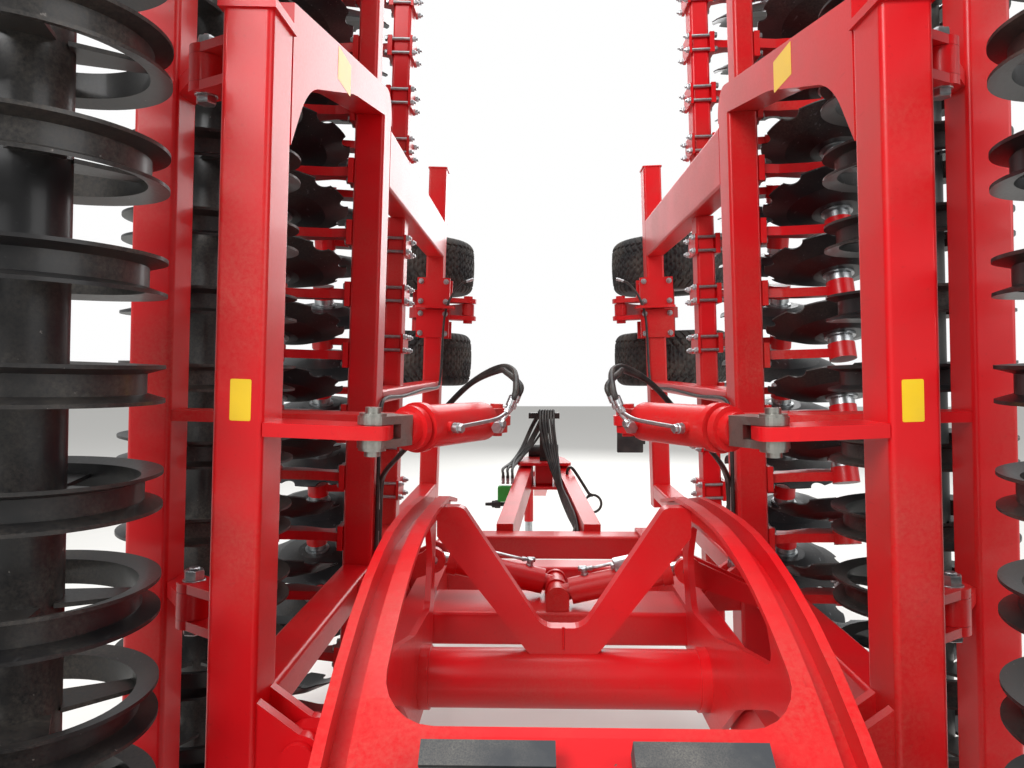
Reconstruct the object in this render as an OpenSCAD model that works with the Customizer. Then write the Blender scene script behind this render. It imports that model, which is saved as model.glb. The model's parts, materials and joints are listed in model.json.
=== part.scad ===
/* [Whole machine] */
// Distance of each fold hinge pin from the middle
hinge_x = 650; // [630:5:680]
// Height of the fold hinge pins above the ground
hinge_z = 845; // [835:5:860]
// Angle through which a wing folds up for the road
fold_angle = 92; // [90:0.5:94]
// Height of the yoke's pivot tube above the ground
pivot_z = 840; // [830:5:850]

/* [Stations forward of the pivot tube] */
// Transport axle, behind the tube
axle_back = 1570; // [1550:5:1600]
// Axis of the rear roller, behind the tube
rear_roller_back = 680; // [660:5:700]
// Middle of the wing's rear tube, behind the pivot tube
rear_tube_back = 435; // [420:5:450]
// Tube that carries both rollers, behind the pivot tube
carrier_back = 150; // [140:5:170]
// Axis of the front roller
front_roller_at = 250; // [235:5:265]
// Middle of the wing's middle tube
mid_tube_at = 860; // [850:5:880]
// Middle of the beam of the front disc row
disc_beam_at = 1625; // [1600:5:1650]
// Middle of the wing's front tube
front_tube_at = 3005; // [2950:5:3050]
// Centre of the gauge wheels
gauge_at = 3550; // [3530:5:3600]
// Centre of the hitch eye
hitch_at = 5650; // [5500:10:5800]
// Fold cylinders
fold_cyl_at = 560; // [545:5:580]

/* [Wing frame] */
// Width of a wing tube along the machine
tube_w = 150; // [140:5:160]
// Height of a wing tube
tube_h = 120; // [110:5:120]
// Height of the wing tubes' middle above the ground in work
tube_z = 680; // [675:5:685]
// Outer corner radius of the square tubes
tube_r = 14; // [8:1:20]
// Outer end of the rear tube
rear_tube_end = 2412; // [2405:1:2420]
// Outer end of the front tube
front_tube_end = 2950; // [2900:10:3000]
// Inner end of the tools, from the middle of the machine
tool_in = 80; // [70:5:100]
// Outer end of the tools
tool_out = 3700; // [3600:10:3800]
// Thickness of a hinge plate
hinge_t = 28; // [24:1:32]
// Radius round the hinge pin
hinge_r = 58; // [52:1:60]
// Radius of the hinge pin
pin_r = 30; // [26:1:34]

/* [Rollers] */
// Outer radius of a roller ring
ring_r = 275; // [270:1:280]
// Depth of the ring's channel
ring_deep = 38; // [30:1:45]
// Width of a ring over its rims
ring_w = 84; // [74:1:96]
// Wall of the ring
ring_t = 8; // [6:0.5:10]
// Rings on one roller
ring_n = 16; // [14:1:17]
// Height of the roller axis above the ground in work
roller_z = 287; // [282:1:296]
// Radius of the roller's core tube
core_r = 84; // [70:1:95]
// Radius of the roller's shaft stubs
stub_r = 30; // [25:1:35]
// Spokes in a ring
spoke_n = 4; // [3:1:5]

/* [Discs] */
// Radius of a disc
disc_r = 280; // [270:1:285]
// Depth of the disc's dish
disc_dish = 62; // [50:1:70]
// Thickness of a disc
disc_t = 5; // [4:0.5:7]
// Scallops round a disc
notch_n = 10; // [8:1:12]
// Radius of a scallop
notch_r = 44; // [36:1:50]
// Discs in one row of one wing
disc_n = 14; // [12:1:14]
// Distance between discs of one row
disc_pitch = 250; // [240:2:255]
// Height of a disc's centre above the ground in work
disc_z = 300; // [296:1:304]
// Angle of a disc to the direction of travel
disc_angle = 16; // [12:1:18]

/* [Gauge wheels] */
// Radius of a gauge tyre
gauge_r = 435; // [420:5:440]
// Width of a gauge tyre
gauge_w = 400; // [380:5:420]
// Middle of the pair, from the middle of the machine
gauge_u = 1990; // [1970:5:2010]
// Distance of each tyre's middle from the arm
gauge_half = 350; // [345:5:370]
// Height of the gauge axle in work
gauge_z = 470; // [460:5:480]

/* [Transport yoke] */
// Outer face of each yoke arm, from the middle
yoke_out = 450; // [440:1:452]
// Width of a yoke arm
yoke_w = 100; // [90:1:110]
// Radius of the arms' rear curve
yoke_r = 1352; // [1346:1:1358]
// Radius of the pivot tube
pivot_r = 86; // [80:1:95]
// Radius of the yoke's trunnions
trunnion_r = 42; // [38:1:46]
// Radius of a transport tyre
tyre_r = 525; // [515:5:530]
// Width of a transport tyre
tyre_w = 500; // [450:10:520]
// Distance of each transport tyre's middle from the middle
track_half = 930; // [900:10:960]

/* [Centre frame and drawbar] */
// Middle of each side beam
side_x = 511; // [508:1:516]
// Width of a side beam
side_w = 98; // [90:1:100]
// Height of a side beam
side_h = 150; // [140:2:150]
// Height of the drawbar's beams
draw_h = 150; // [130:5:160]
// Width of the drawbar's beams
draw_w = 90; // [80:5:100]
// Height of the hitch eye
hitch_z = 560; // [500:10:650]
// Radius of the bore in the hitch eye
hitch_bore_r = 25; // [25:0.5:26]
// Thickness of the hitch eye
hitch_t = 45; // [40:1:50]

/* [Hidden] */
$fn = 48;

red = "#c8141c";
dark = "#232323";
steel = "#a5a8aa";
rubber = "#2b2d30";

eye_r = 62;
run = 0.05;                    // running clearance round a pin or shaft
side_gap = 5;                  // clearance beside a moving plate
seat = 0.3;                    // clearance at a curved seat

pivot_y = (axle_back + tyre_r - hitch_at - eye_r) / 2;
axle_y = pivot_y - axle_back;
rear_roller_y = pivot_y - rear_roller_back;
rear_tube_y = pivot_y - rear_tube_back;
carrier_y = pivot_y - carrier_back;
front_roller_y = pivot_y + front_roller_at;
mid_tube_y = pivot_y + mid_tube_at;
disc_beam_y = pivot_y + disc_beam_at;
front_tube_y = pivot_y + front_tube_at;
gauge_y = pivot_y + gauge_at;
hitch_y = pivot_y + hitch_at;
fold_cyl_y = pivot_y + fold_cyl_at;
tube_top = tube_z + tube_h / 2;
tube_low = tube_z - tube_h / 2;
side_in = side_x - side_w / 2;
side_out = side_x + side_w / 2;

function unit(v) = v / norm(v);

// One rounded corner: p is [x, y, radius], between the corners a and b.
function corner(a, p, b, n) =
    let (q = [p[0], p[1]], u = unit([a[0], a[1]] - q), v = unit([b[0], b[1]] - q),
         half = acos(u * v) / 2, c = q + unit(u + v) * p[2] / sin(half),
         s = q + u * p[2] / tan(half) - c, e = q + v * p[2] / tan(half) - c,
         a0 = atan2(s[1], s[0]), turn = atan2(s[0] * e[1] - s[1] * e[0], s * e))
    p[2] == 0 ? [q] : [for (i = [0 : n]) c + p[2] * [cos(a0 + turn * i / n), sin(a0 + turn * i / n)]];

// An outline whose corners are [x, y, corner radius].
function rounded(p, n = 6) =
    [for (i = [0 : len(p) - 1])
        each corner(p[(i + len(p) - 1) % len(p)], p[i], p[(i + 1) % len(p)], n)];

// Extrudes an outline drawn in Y and Z along +X.
module along_x(x, length) {
    translate([x, 0, 0]) rotate([90, 0, 90]) linear_extrude(length) children();
}

// Extrudes an outline drawn in X and Z along +Y.
module along_y(y, length) {
    translate([0, y + length, 0]) rotate([90, 0, 0]) linear_extrude(length) children();
}

module rod_x(x, length, y, z, r) {
    translate([x, y, z]) rotate([0, 90, 0]) cylinder(r = r, h = length);
}

module rod_y(x, y, length, z, r) {
    translate([x, y, z]) rotate([-90, 0, 0]) cylinder(r = r, h = length);
}

// Section of a square tube with round corners.
module tube_section(w, h) {
    square([w, h - 2 * tube_r], center = true);
    square([w - 2 * tube_r, h], center = true);
    for (x = [-1, 1], y = [-1, 1])
        translate([x * (w / 2 - tube_r), y * (h / 2 - tube_r)]) circle(r = tube_r, $fn = 32);
}

// A tube along the wing, from u0 to u1.
module wing_tube(u0, u1, y) {
    along_x(u0, u1 - u0) translate([y, tube_z]) tube_section(tube_w, tube_h);
}

// Places a wing, drawn in work on the right, as it stands folded on its side.
module folded(side) {
    mirror([side < 0 ? 1 : 0, 0, 0])
        translate([hinge_x, 0, hinge_z])
            rotate([0, -fold_angle, 0])
                translate([-hinge_x, 0, -hinge_z])
                    children();
}

// Fold hinge: two plates of the wing straddle one plate of the centre frame.
hinge_mid_t = 56;
hinge_in = hinge_mid_t / 2 + side_gap;

module wing_hinge(y) {
    for (s = [-1, 1])
        along_y(y + s * (hinge_in + hinge_t / 2) - hinge_t / 2, hinge_t)
            difference() {
                union() {
                    translate([hinge_x, hinge_z]) circle(r = hinge_r);
                    polygon([[hinge_x - hinge_r, hinge_z], [hinge_x + hinge_r, hinge_z],
                        [hinge_x + 130, tube_top], [hinge_x - hinge_r, tube_top]]);
                }
                translate([hinge_x, hinge_z]) circle(r = pin_r + run);
            }
}

module frame_hinge(y) {
    along_y(y - hinge_mid_t / 2, hinge_mid_t)
        union() {
            translate([hinge_x, hinge_z]) circle(r = hinge_r);
            polygon([[side_out, pivot_z - 70], [hinge_x, hinge_z - hinge_r],
                [hinge_x, hinge_z + hinge_r], [side_out, pivot_z + 70]]);
        }
    rod_y(hinge_x, y - hinge_in - hinge_t - 20, 2 * (hinge_in + hinge_t + 20), hinge_z, pin_r);
    for (s = [-1, 1])
        rod_y(hinge_x, y + s * (hinge_in + hinge_t + 12) - 9, 18, hinge_z, pin_r + 14);
}

// Centre frame
side_back = 600;
side_front = 1780;

module side_beams() {
    color(red)
        for (s = [-1, 1])
            mirror([s < 0 ? 1 : 0, 0, 0])
                union() {
                    difference() {
                        along_x(side_in, side_w)
                            polygon(rounded([[pivot_y - side_back, pivot_z - 70, 20],
                                [pivot_y + side_front, pivot_z - 70, 20],
                                [pivot_y + side_front, pivot_z - 70 + side_h, 20],
                                [pivot_y - side_back, pivot_z - 70 + side_h, 60]]));
                        rod_x(side_in - 1, side_w + 2, pivot_y, pivot_z, trunnion_r + run);
                    }
                    frame_hinge(rear_tube_y);
                    frame_hinge(mid_tube_y);
                }
}

cross_h = 120;
// Cross members: columns are the place ahead of the pivot tube and the width.
crosses = [[fold_cyl_at, 280], [1100, 140], [1700, 140]];

module cross_members() {
    color(red) {
        union() {
            for (c = [crosses[0]])
                along_x(-side_in, 2 * side_in)
                    translate([pivot_y + c[0], pivot_z]) tube_section(c[1], cross_h);
            for (p = [[0, 36], [116, 20], [-116, 20]])
                along_y(fold_cyl_y + p[0] - p[1] / 2, p[1])
                    base_lug();
        }
        for (c = [crosses[1], crosses[2]])
            along_x(-side_in, 2 * side_in)
                translate([pivot_y + c[0], pivot_z]) tube_section(c[1], cross_h);
        rod_y(0, fold_cyl_y - 130, 260, fold_base[1], fold_pin_r);
    }
}

// Fold cylinders side by side on one pin; each has its rod's eye in the wing's lug.
fold_base = [0, 945];
fold_eye_work = [860, 1020];
fold_eye_r = 36;
fold_pin_r = 18;
fold_barrel_r = 48;
fold_neck = 50;                // from the pin to the barrel's end, past the lugs
fold_rod_r = 25;
fold_apart = 62;

function turned(p, a) = [p[0] * cos(a) - p[1] * sin(a), p[0] * sin(a) + p[1] * cos(a)];
hinge_at = [hinge_x, hinge_z];
fold_eye = hinge_at + turned(fold_eye_work - hinge_at, fold_angle);
fold_len = norm(fold_eye - fold_base);
fold_tilt = atan2(fold_eye[1] - fold_base[1], fold_eye[0] - fold_base[0]);

module base_lug() {
    difference() {
        union() {
            translate([fold_base[0], fold_base[1]]) circle(r = 42);
            translate([fold_base[0] - 42, pivot_z + cross_h / 2 - 1])
                square([84, fold_base[1] - pivot_z - cross_h / 2 + 1]);
        }
        translate([fold_base[0], fold_base[1]]) circle(r = fold_pin_r);
    }
}

// Draws along a fold cylinder: x runs from the base pin to the rod's pin.
module on_fold_line(side) {
    mirror([side < 0 ? 1 : 0, 0, 0])
        translate([fold_base[0], fold_cyl_y - side * fold_apart, fold_base[1]])
            rotate([0, -fold_tilt, 0])
                children();
}

module fold_barrel(side) {
    color(red)
        on_fold_line(side)
            difference() {
                union() {
                    rotate([-90, 0, 0]) translate([0, 0, -39]) cylinder(r = fold_eye_r, h = 78);
                    rotate([0, 90, 0]) translate([0, 0, 20]) cylinder(r = fold_eye_r - 6, h = fold_neck - 15);
                    rotate([0, 90, 0]) translate([0, 0, fold_neck])
                        cylinder(r = fold_barrel_r, h = fold_len - 62 - fold_neck);
                    rotate([0, 90, 0]) translate([0, 0, fold_len - 92])
                        cylinder(r = fold_barrel_r + 6, h = 36);
                }
                rotate([-90, 0, 0]) translate([0, 0, -60]) cylinder(r = fold_pin_r + run, h = 120);
                rotate([0, 90, 0]) translate([0, 0, 60]) cylinder(r = fold_rod_r + run, h = fold_len);
            }
}

module fold_rod(side) {
    color(steel)
        on_fold_line(side)
            union() {
                rotate([0, 90, 0]) translate([0, 0, 65]) cylinder(r = fold_rod_r, h = fold_len - 65 - 20);
                rotate([-90, 0, 0]) translate([fold_len, 0, -34]) cylinder(r = fold_eye_r, h = 68);
            }
}

// Lug of the wing that stands on the hinge side beam and takes the rod's eye.
module wing_lug(side) {
    for (s = [-1, 1])
        along_y(fold_cyl_y - side * fold_apart + s * 52 - 12, 24)
            difference() {
                union() {
                    translate([fold_eye_work[0], fold_eye_work[1]]) circle(r = 48);
                    polygon([[fold_eye_work[0] - 48, fold_eye_work[1]],
                        [fold_eye_work[0] + 48, fold_eye_work[1]],
                        [hinge_beam_u + 48, tube_top - 1], [hinge_beam_u - 10, tube_top - 1]]);
                }
                translate([fold_eye_work[0], fold_eye_work[1]]) circle(r = 20);
            }
}

// Wing frame
hinge_beam_u = 720;
inner_beam_u = 1455;
outer_beam_u = 2465;
beam_w = 100;
outer_beam_w = 250;
inner_beam_w = 60;
mid_tube_end = 2600;
end_beam_w = 110;
end_beam_h = 80;
arch_top = 142;                        // the arch rises this far past the middle tube
bracket_u = 1435;
bracket_t = 33;
depth_pin = [rear_tube_back + 25, 990];        // behind the pivot tube, height in work
depth_eye = [-95, 1262];

module rear_tube() {
    color(red)
        union() {
            wing_tube(hinge_x - 70, rear_tube_end, rear_tube_y);
            along_x(rear_tube_end, 22)
                translate([rear_tube_y - tube_w / 2 - 8, tube_low - 8]) square([tube_w + 8, tube_h + 16]);
            wing_hinge(rear_tube_y);
            along_x(bracket_u - bracket_t / 2, bracket_t)
                difference() {
                    polygon(rounded([[rear_tube_y - tube_w / 2, tube_top, 0],
                        [rear_tube_y + tube_w / 2, tube_top, 0],
                        [pivot_y - depth_pin[0] + 70, depth_pin[1] - 20, 30],
                        [pivot_y - depth_pin[0] + 45, depth_pin[1] + 45, 30],
                        [pivot_y - depth_pin[0] - 45, depth_pin[1] + 45, 30],
                        [pivot_y - depth_pin[0] - 60, depth_pin[1] - 40, 20]]));
                    translate([pivot_y - depth_pin[0], depth_pin[1]]) circle(r = 20 + run);
                }
            for (u = pivot_at) {
                along_x(u - 60, 24) pivot_ear(rear_tube_y);
                along_x(u + 36, 24) pivot_ear(rear_tube_y);
            }
        }
}

pivot_at = [950, 2340];
boss_y = pivot_y - 300;
boss_z = 495;
boss_r = 44;

// Ear that hangs from the tube's front lower corner round the roller carrier's pin.
module pivot_ear(y) {
    difference() {
        union() {
            translate([boss_y, boss_z]) circle(r = boss_r);
            polygon([[y + 10, tube_low + 10], [y + tube_w / 2 - 10, tube_low + 10],
                [y + tube_w / 2 - 10, tube_low],
                [boss_y + boss_r, boss_z], [boss_y - 10, boss_z - boss_r + 8], [boss_y - boss_r, boss_z]]);
        }
        translate([boss_y, boss_z]) circle(r = 22 + run);
    }
}

module mid_tube() {
    color(red)
        union() {
            wing_tube(tool_in, mid_tube_end, mid_tube_y);
            wing_hinge(mid_tube_y);
        }
}

module front_tube() {
    color(red)
        union() {
            wing_tube(hinge_x - 40, front_tube_end, front_tube_y);
            along_x(front_tube_end, 8) translate([front_tube_y, tube_z])
                tube_section(tube_w + 12, tube_h + 12);
        }
}

module frame_beams(side) {
    y0 = mid_tube_y + tube_w / 2;
    y1 = front_tube_y - tube_w / 2;
    color(red) {
        for (b = [[hinge_beam_u, beam_w], [inner_beam_u, inner_beam_w], [outer_beam_u, outer_beam_w]])
            along_y(y0, y1 - y0) translate([b[0], tube_z]) tube_section(b[1], tube_h);
        union() {
            along_y(rear_tube_y + tube_w / 2, mid_tube_y - rear_tube_y - tube_w)
                translate([hinge_beam_u, tube_z]) tube_section(beam_w, tube_h);
            wing_lug(side);
        }
        arch();
    }
}

// Fabricated arch from the rear tube over the end of the middle tube, with the beam that goes on outwards.
module arch() {
    ya = rear_tube_y + tube_w / 2;
    yb = mid_tube_y - tube_w / 2;
    yc = mid_tube_y + tube_w / 2;
    union() {
        translate([0, 0, tube_low])
            linear_extrude(tube_h)
                polygon(rounded([[rear_tube_end - 270, ya, 0], [rear_tube_end - 80, ya + 130, 300],
                    [mid_tube_end - 100, ya + 640, 900], [mid_tube_end, yb, 0], [mid_tube_end, yc, 0],
                    [mid_tube_end + arch_top, yc, 95], [rear_tube_end + 85, ya, 0]], 10));
        along_x(mid_tube_end + 40, tool_out - mid_tube_end - 100)
            translate([mid_tube_y, tube_low + end_beam_h / 2]) tube_section(end_beam_w, end_beam_h);
    }
}

disc_beam_w = 120;
disc_beam_h = 90;
disc_beam_low = 610;
module disc_beam() {
    spans = [[tool_in + 70, hinge_beam_u - beam_w / 2],
        [hinge_beam_u + beam_w / 2, inner_beam_u - inner_beam_w / 2],
        [inner_beam_u + inner_beam_w / 2, outer_beam_u - outer_beam_w / 2],
        [outer_beam_u + outer_beam_w / 2, tool_out + 50]];
    color(red)
        for (s = spans)
            along_x(s[0], s[1] - s[0])
                translate([disc_beam_y, disc_beam_low + disc_beam_h / 2])
                    tube_section(disc_beam_w, disc_beam_h);
}

// Disc units: columns are the beam's place, the hub's place ahead of the beam,
// the first disc's place along the wing and the side to which the disc leads.
disc_rows = [[mid_tube_y, -20, 225, 1], [disc_beam_y, -45, 350, -1]];
boss_out = 32;                         // an arm's boss stands this far beyond the arm's middle
arm_boss_r = 52;
hub_r = 48;
hub_neck_r = 40;
hub_flange_r = 60;
hub_flange_t = 7;
arm_t = 36;
arm_off = 100;

module each_disc(row) {
    for (i = [0 : disc_n - 1])
        translate([row[2] + i * disc_pitch, row[0] + row[1], disc_z])
            children();
}

// A disc: a flat middle for the hub and two dished bands, scalloped round the edge.
module disc() {
    r1 = 95;
    r2 = 190;
    h2 = disc_dish * 0.34;
    translate([-disc_dish / 2, 0, 0])
        rotate([0, 90, 0])
            intersection() {
                rotate_extrude($fn = 96)
                    polygon([[0, 0], [r1, 0], [r2, h2], [disc_r + 10, disc_dish + 3],
                        [disc_r + 10, disc_dish + 3 + disc_t],
                        [r2, h2 + disc_t], [r1, disc_t], [0, disc_t]]);
                translate([0, 0, -1])
                    linear_extrude(disc_dish + disc_t + 10)
                        difference() {
                            circle(r = disc_r, $fn = 96);
                            for (i = [0 : notch_n - 1])
                                rotate(i * 360 / notch_n)
                                    translate([disc_r + notch_r * 0.45, 0])
                                        circle(r = notch_r, $fn = 32);
                        }
            }
}

module discs() {
    color(dark)
        for (row = disc_rows)
            each_disc(row)
                rotate([0, 0, row[3] * disc_angle])
                    mirror([row[3] < 0 ? 1 : 0, 0, 0])
                        disc();
}

clamp_w = 100;
clamp_t = 22;
clamp_out = 20;
cap_t = 14;

// Whether an upper plate at u stays clear of the beams it would meet.
function under(u, beams) = min([for (b = beams) abs(u - b[0]) - b[1] / 2]) < -clamp_w / 2;
function clear_of(u, beams) = min([for (b = beams) abs(u - b[0]) - b[1] / 2]) > clamp_w / 2 + side_gap;

module disc_arms() {
    frame = [[hinge_beam_u, beam_w], [inner_beam_u, inner_beam_w], [outer_beam_u, outer_beam_w]];
    color(red)
        for (row = disc_rows)
            for (i = [0 : disc_n - 1])
                translate([row[2] + i * disc_pitch, row[0] + row[1], disc_z])
                    mirror([row[3] < 0 ? 1 : 0, 0, 0]) {
                        u = row[2] + i * disc_pitch - row[3] * arm_off;
                        if (row[3] < 0)
                            disc_arm(row[1], under(u, frame) ? tube_low : disc_beam_low, disc_beam_w,
                                clear_of(u, frame) ? disc_beam_low + disc_beam_h : 0);
                        else
                            disc_arm(row[1], tube_low,
                                (u > mid_tube_end + arch_top - clamp_w ? end_beam_w : tube_w)
                                - 2 * clamp_out, 0);
                    }
}

// Arm from the clamp under a beam down to the hub, which stands ahead of the beam.
// low, w and over are the beam's underside, width and top; no upper plate where over is 0.
module disc_arm(ahead, low, w, over) {
    top = low - clamp_t - disc_z;
    union() {
        along_x(-arm_off - arm_t / 2, arm_t)
            polygon(rounded([[-ahead - 55, top, 0], [-ahead + 50, top, 0], [-ahead + 20, top - 70, 60],
                [80, 115, 110], [50, -50, 44], [-50, -50, 44], [-28, 120, 110],
                    [-ahead - 42, top - 70, 60]]));
        rotate([0, 0, disc_angle])
            rotate([0, 90, 0])
                translate([0, 0, -arm_off - boss_out]) cylinder(r = arm_boss_r, h = 2 * boss_out);
        translate([-arm_off - clamp_w / 2, -ahead - w / 2 - clamp_out, top])
            cube([clamp_w, w + 2 * clamp_out, clamp_t]);
    }
    if (over > 0)
        translate([-arm_off - clamp_w / 2, -ahead - w / 2 - clamp_out, over - disc_z])
            cube([clamp_w, w + 2 * clamp_out, cap_t]);
}

// Stepped hubs between the arms' bosses and the discs, and the caps over the bearings.
module disc_hubs() {
    near = -arm_off + boss_out;
    face = -disc_dish / 2 - seat;
    color(steel)
        for (row = disc_rows)
            each_disc(row)
                mirror([row[3] < 0 ? 1 : 0, 0, 0])
                    rotate([0, 0, disc_angle])
                        rotate([0, 90, 0]) {
                            union() {
                                translate([0, 0, near]) cylinder(r = hub_r, h = 24);
                                translate([0, 0, near + 23]) cylinder(r = hub_neck_r, h = face - near - 24);
                                translate([0, 0, face - hub_flange_t])
                                    cylinder(r = hub_flange_r, h = hub_flange_t);
                            }
                            translate([0, 0, -disc_dish / 2 + disc_t + seat]) {
                                cylinder(r = hub_flange_r, h = hub_flange_t);
                                cylinder(r1 = 26, r2 = 22, h = hub_flange_t + 9);
                            }
                        }
}

// Rollers
module ring() {
    rotate([0, 90, 0])
        rotate_extrude($fn = 96)
            polygon([[ring_r - ring_deep - ring_t, -ring_w / 2 + 12], [ring_r, -ring_w / 2],
                [ring_r, -ring_w / 2 + ring_t], [ring_r - ring_deep, -ring_w / 2 + 20],
                [ring_r - ring_deep, ring_w / 2 - 20], [ring_r, ring_w / 2 - ring_t],
                [ring_r, ring_w / 2], [ring_r - ring_deep - ring_t, ring_w / 2 - 12]]);
}

module spokes() {
    for (i = [0 : spoke_n - 1])
        rotate([i * 360 / spoke_n, 0, 0])
            along_x(-5, 10)
                polygon([[core_r - 10, -55], [ring_r - ring_deep - 4, -30],
                    [ring_r - ring_deep - 4, 30], [core_r - 10, 55]]);
}

module roller(y) {
    step = (tool_out - tool_in - ring_w) / (ring_n - 1);
    color(dark)
        translate([tool_in + ring_w / 2, y, roller_z])
            union() {
                rod_x(-ring_w / 2, tool_out - tool_in, 0, 0, core_r);
                rod_x(-ring_w / 2 - plate_gap - plate_t - 10,
                    tool_out - tool_in + 2 * (plate_gap + plate_t + 10), 0, 0, stub_r);
                for (i = [0 : ring_n - 1])
                    translate([i * step, 0, 0]) {
                        ring();
                        rotate([i * 17, 0, 0]) spokes();
                    }
            }
}

plate_t = 16;
plate_gap = 8;
carrier_z = 315;
carrier_w = 120;

module roller_plates() {
    color(red)
        for (u = [tool_in - plate_gap - plate_t, tool_out + plate_gap])
            along_x(u, plate_t)
                difference() {
                    union() {
                        polygon(rounded([[rear_roller_y - 90, roller_z - 80, 60],
                            [front_roller_y + 90, roller_z - 80, 60],
                            [front_roller_y + 90, roller_z + 80, 60], [carrier_y + 110, carrier_z + 85, 40],
                            [carrier_y - 110, carrier_z + 85, 40], [rear_roller_y - 90, roller_z + 80, 60]]));
                    }
                    translate([rear_roller_y, roller_z]) circle(r = stub_r + run);
                    translate([front_roller_y, roller_z]) circle(r = stub_r + run);
                }
}

module roller_carrier() {
    color(red) {
        union() {
            along_x(tool_in - plate_gap, tool_out - tool_in + 2 * plate_gap)
                translate([carrier_y, carrier_z]) tube_section(carrier_w, carrier_w);
            for (u = pivot_at) {
                rod_x(u - 36 + 1, 70, boss_y, boss_z, boss_r);
                rod_x(u - 64, 128, boss_y, boss_z, 22);
                along_x(u - 20, 40)
                    polygon([[boss_y - boss_r + 4, boss_z - 10], [boss_y + boss_r, boss_z + 6],
                        [carrier_y + 50, carrier_z + carrier_w / 2 - 1],
                            [carrier_y - 50, carrier_z + carrier_w / 2 - 1]]);
            }
            along_x(bracket_u - 15, 30)
                difference() {
                    polygon(rounded([[carrier_y - 50, carrier_z + carrier_w / 2 - 1, 0],
                        [carrier_y + 55, carrier_z + carrier_w / 2 - 1, 0],
                        [carrier_y + 120, 700, 200],
                        [pivot_y - depth_eye[0] + 50, depth_eye[1] + 45, 34],
                        [pivot_y - depth_eye[0] - 42, depth_eye[1] + 45, 34],
                        [pivot_y - depth_eye[0] - 42, depth_eye[1] - 115, 60],
                        [carrier_y - 10, 780, 200]]));
                    translate([pivot_y - depth_eye[0], depth_eye[1]]) circle(r = 20 + run);
                }
        }
    }
}

// Depth cylinder between the rear tube's bracket and the roller carrier's lever
depth_a = [pivot_y - depth_pin[0], depth_pin[1]];
depth_b = [pivot_y - depth_eye[0], depth_eye[1]];
depth_long = norm(depth_b - depth_a);
depth_pin_r = 20;
depth_r = 58;                          // barrel
fork_end = 118;                        // end of the steel fork, from its pin
fork_half = 38;
barrel_from = 200;
eye_end = 94;
port_r = 16;

module depth_place() {
    translate([bracket_u, depth_a[0], depth_a[1]])
        rotate([atan2(depth_b[1] - depth_a[1], depth_b[0] - depth_a[0]), 0, 0])
            children();
}

module depth_fork() {
    washer_r = 33;
    washer_t = 7;
    head_r = 19;
    head_t = 14;
    color(steel)
        depth_place()
            union() {
                difference() {
                    along_x(-fork_half, 2 * fork_half)
                        polygon(rounded([[-36, -36, 34], [fork_end, -36, 5], [fork_end, 36, 5],
                            [-36, 36, 34]]));
                    translate([-bracket_t / 2 - 1.5, -60, -60]) cube([bracket_t + 3, 125, 120]);
                }
                for (s = [-1, 1])
                    mirror([s < 0 ? 1 : 0, 0, 0]) {
                        rod_x(fork_half - 1, washer_t + 1, 0, 0, washer_r);
                        rod_x(fork_half - 1, washer_t + head_t + 1, 0, 0, head_r);
                    }
                rod_x(-bracket_t / 2 - 2, bracket_t + 4, 0, 0, depth_pin_r);
            }
}

module depth_cylinder() {
    color(red)
        depth_place()
            union() {
                rod_y(0, fork_end, barrel_from - fork_end, 0, 44);
                rod_y(0, fork_end + 30, 22, 0, depth_r);
                rod_y(0, fork_end + 62, 22, 0, depth_r + 8);
                rod_y(0, barrel_from - 1, depth_long - barrel_from - eye_end + 1, 0, depth_r);
                for (at = [barrel_from + 55, depth_long - eye_end - 35])
                    translate([0, at, depth_r - 6]) cylinder(r = port_r, h = 18);
                difference() {
                    along_x(-fork_half, 2 * fork_half)
                        polygon(rounded([[depth_long - eye_end - 2, -36, 0], [depth_long + 34, -36, 32],
                            [depth_long + 34, 36, 32], [depth_long - eye_end - 2, 36, 0]]));
                    translate([-17, depth_long - 76, -60]) cube([34, 125, 120]);
                }
                rod_x(-50, 100, depth_long, 0, depth_pin_r);
            }
}

// Gauge wheels
gauge_pivot = [front_tube_y + 45, 910];

gauge_plate = [190, 225];              // along the wing, across the tube
gauge_plate_t = 20;
gauge_rib = [16, 300, 110];            // between the plates: thickness, height, how far it stands out

// Clamp plates on both faces of the front tube, two and two, with the rib between the rear pair.
module gauge_clamps() {
    color(red) {
        for (u = [gauge_u - 15 - gauge_plate[0], gauge_u + 15])
            along_x(u, gauge_plate[0])
                translate([front_tube_y - tube_w / 2 - gauge_plate_t, tube_z - gauge_plate[1] / 2])
                    square([gauge_plate_t, gauge_plate[1]]);
        for (u = [gauge_u - 15 - gauge_plate[0], gauge_u + 85])
            along_x(u, gauge_plate[0] - 70)
                translate([front_tube_y + tube_w / 2, tube_z - gauge_plate[1] / 2])
                    square([gauge_plate_t, gauge_plate[1]]);
        along_x(gauge_u - gauge_rib[0] / 2, gauge_rib[0])
            polygon(rounded([[front_tube_y - tube_w / 2, tube_z - gauge_rib[1] / 2 + 30, 0],
                [front_tube_y - tube_w / 2, tube_z + gauge_rib[1] / 2, 0],
                [front_tube_y - tube_w / 2 - gauge_rib[2], tube_z + gauge_rib[1] / 2, 40],
                [front_tube_y - tube_w / 2 - gauge_rib[2], tube_z - gauge_rib[1] / 2 + 30, 60]]));
    }
}

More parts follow.
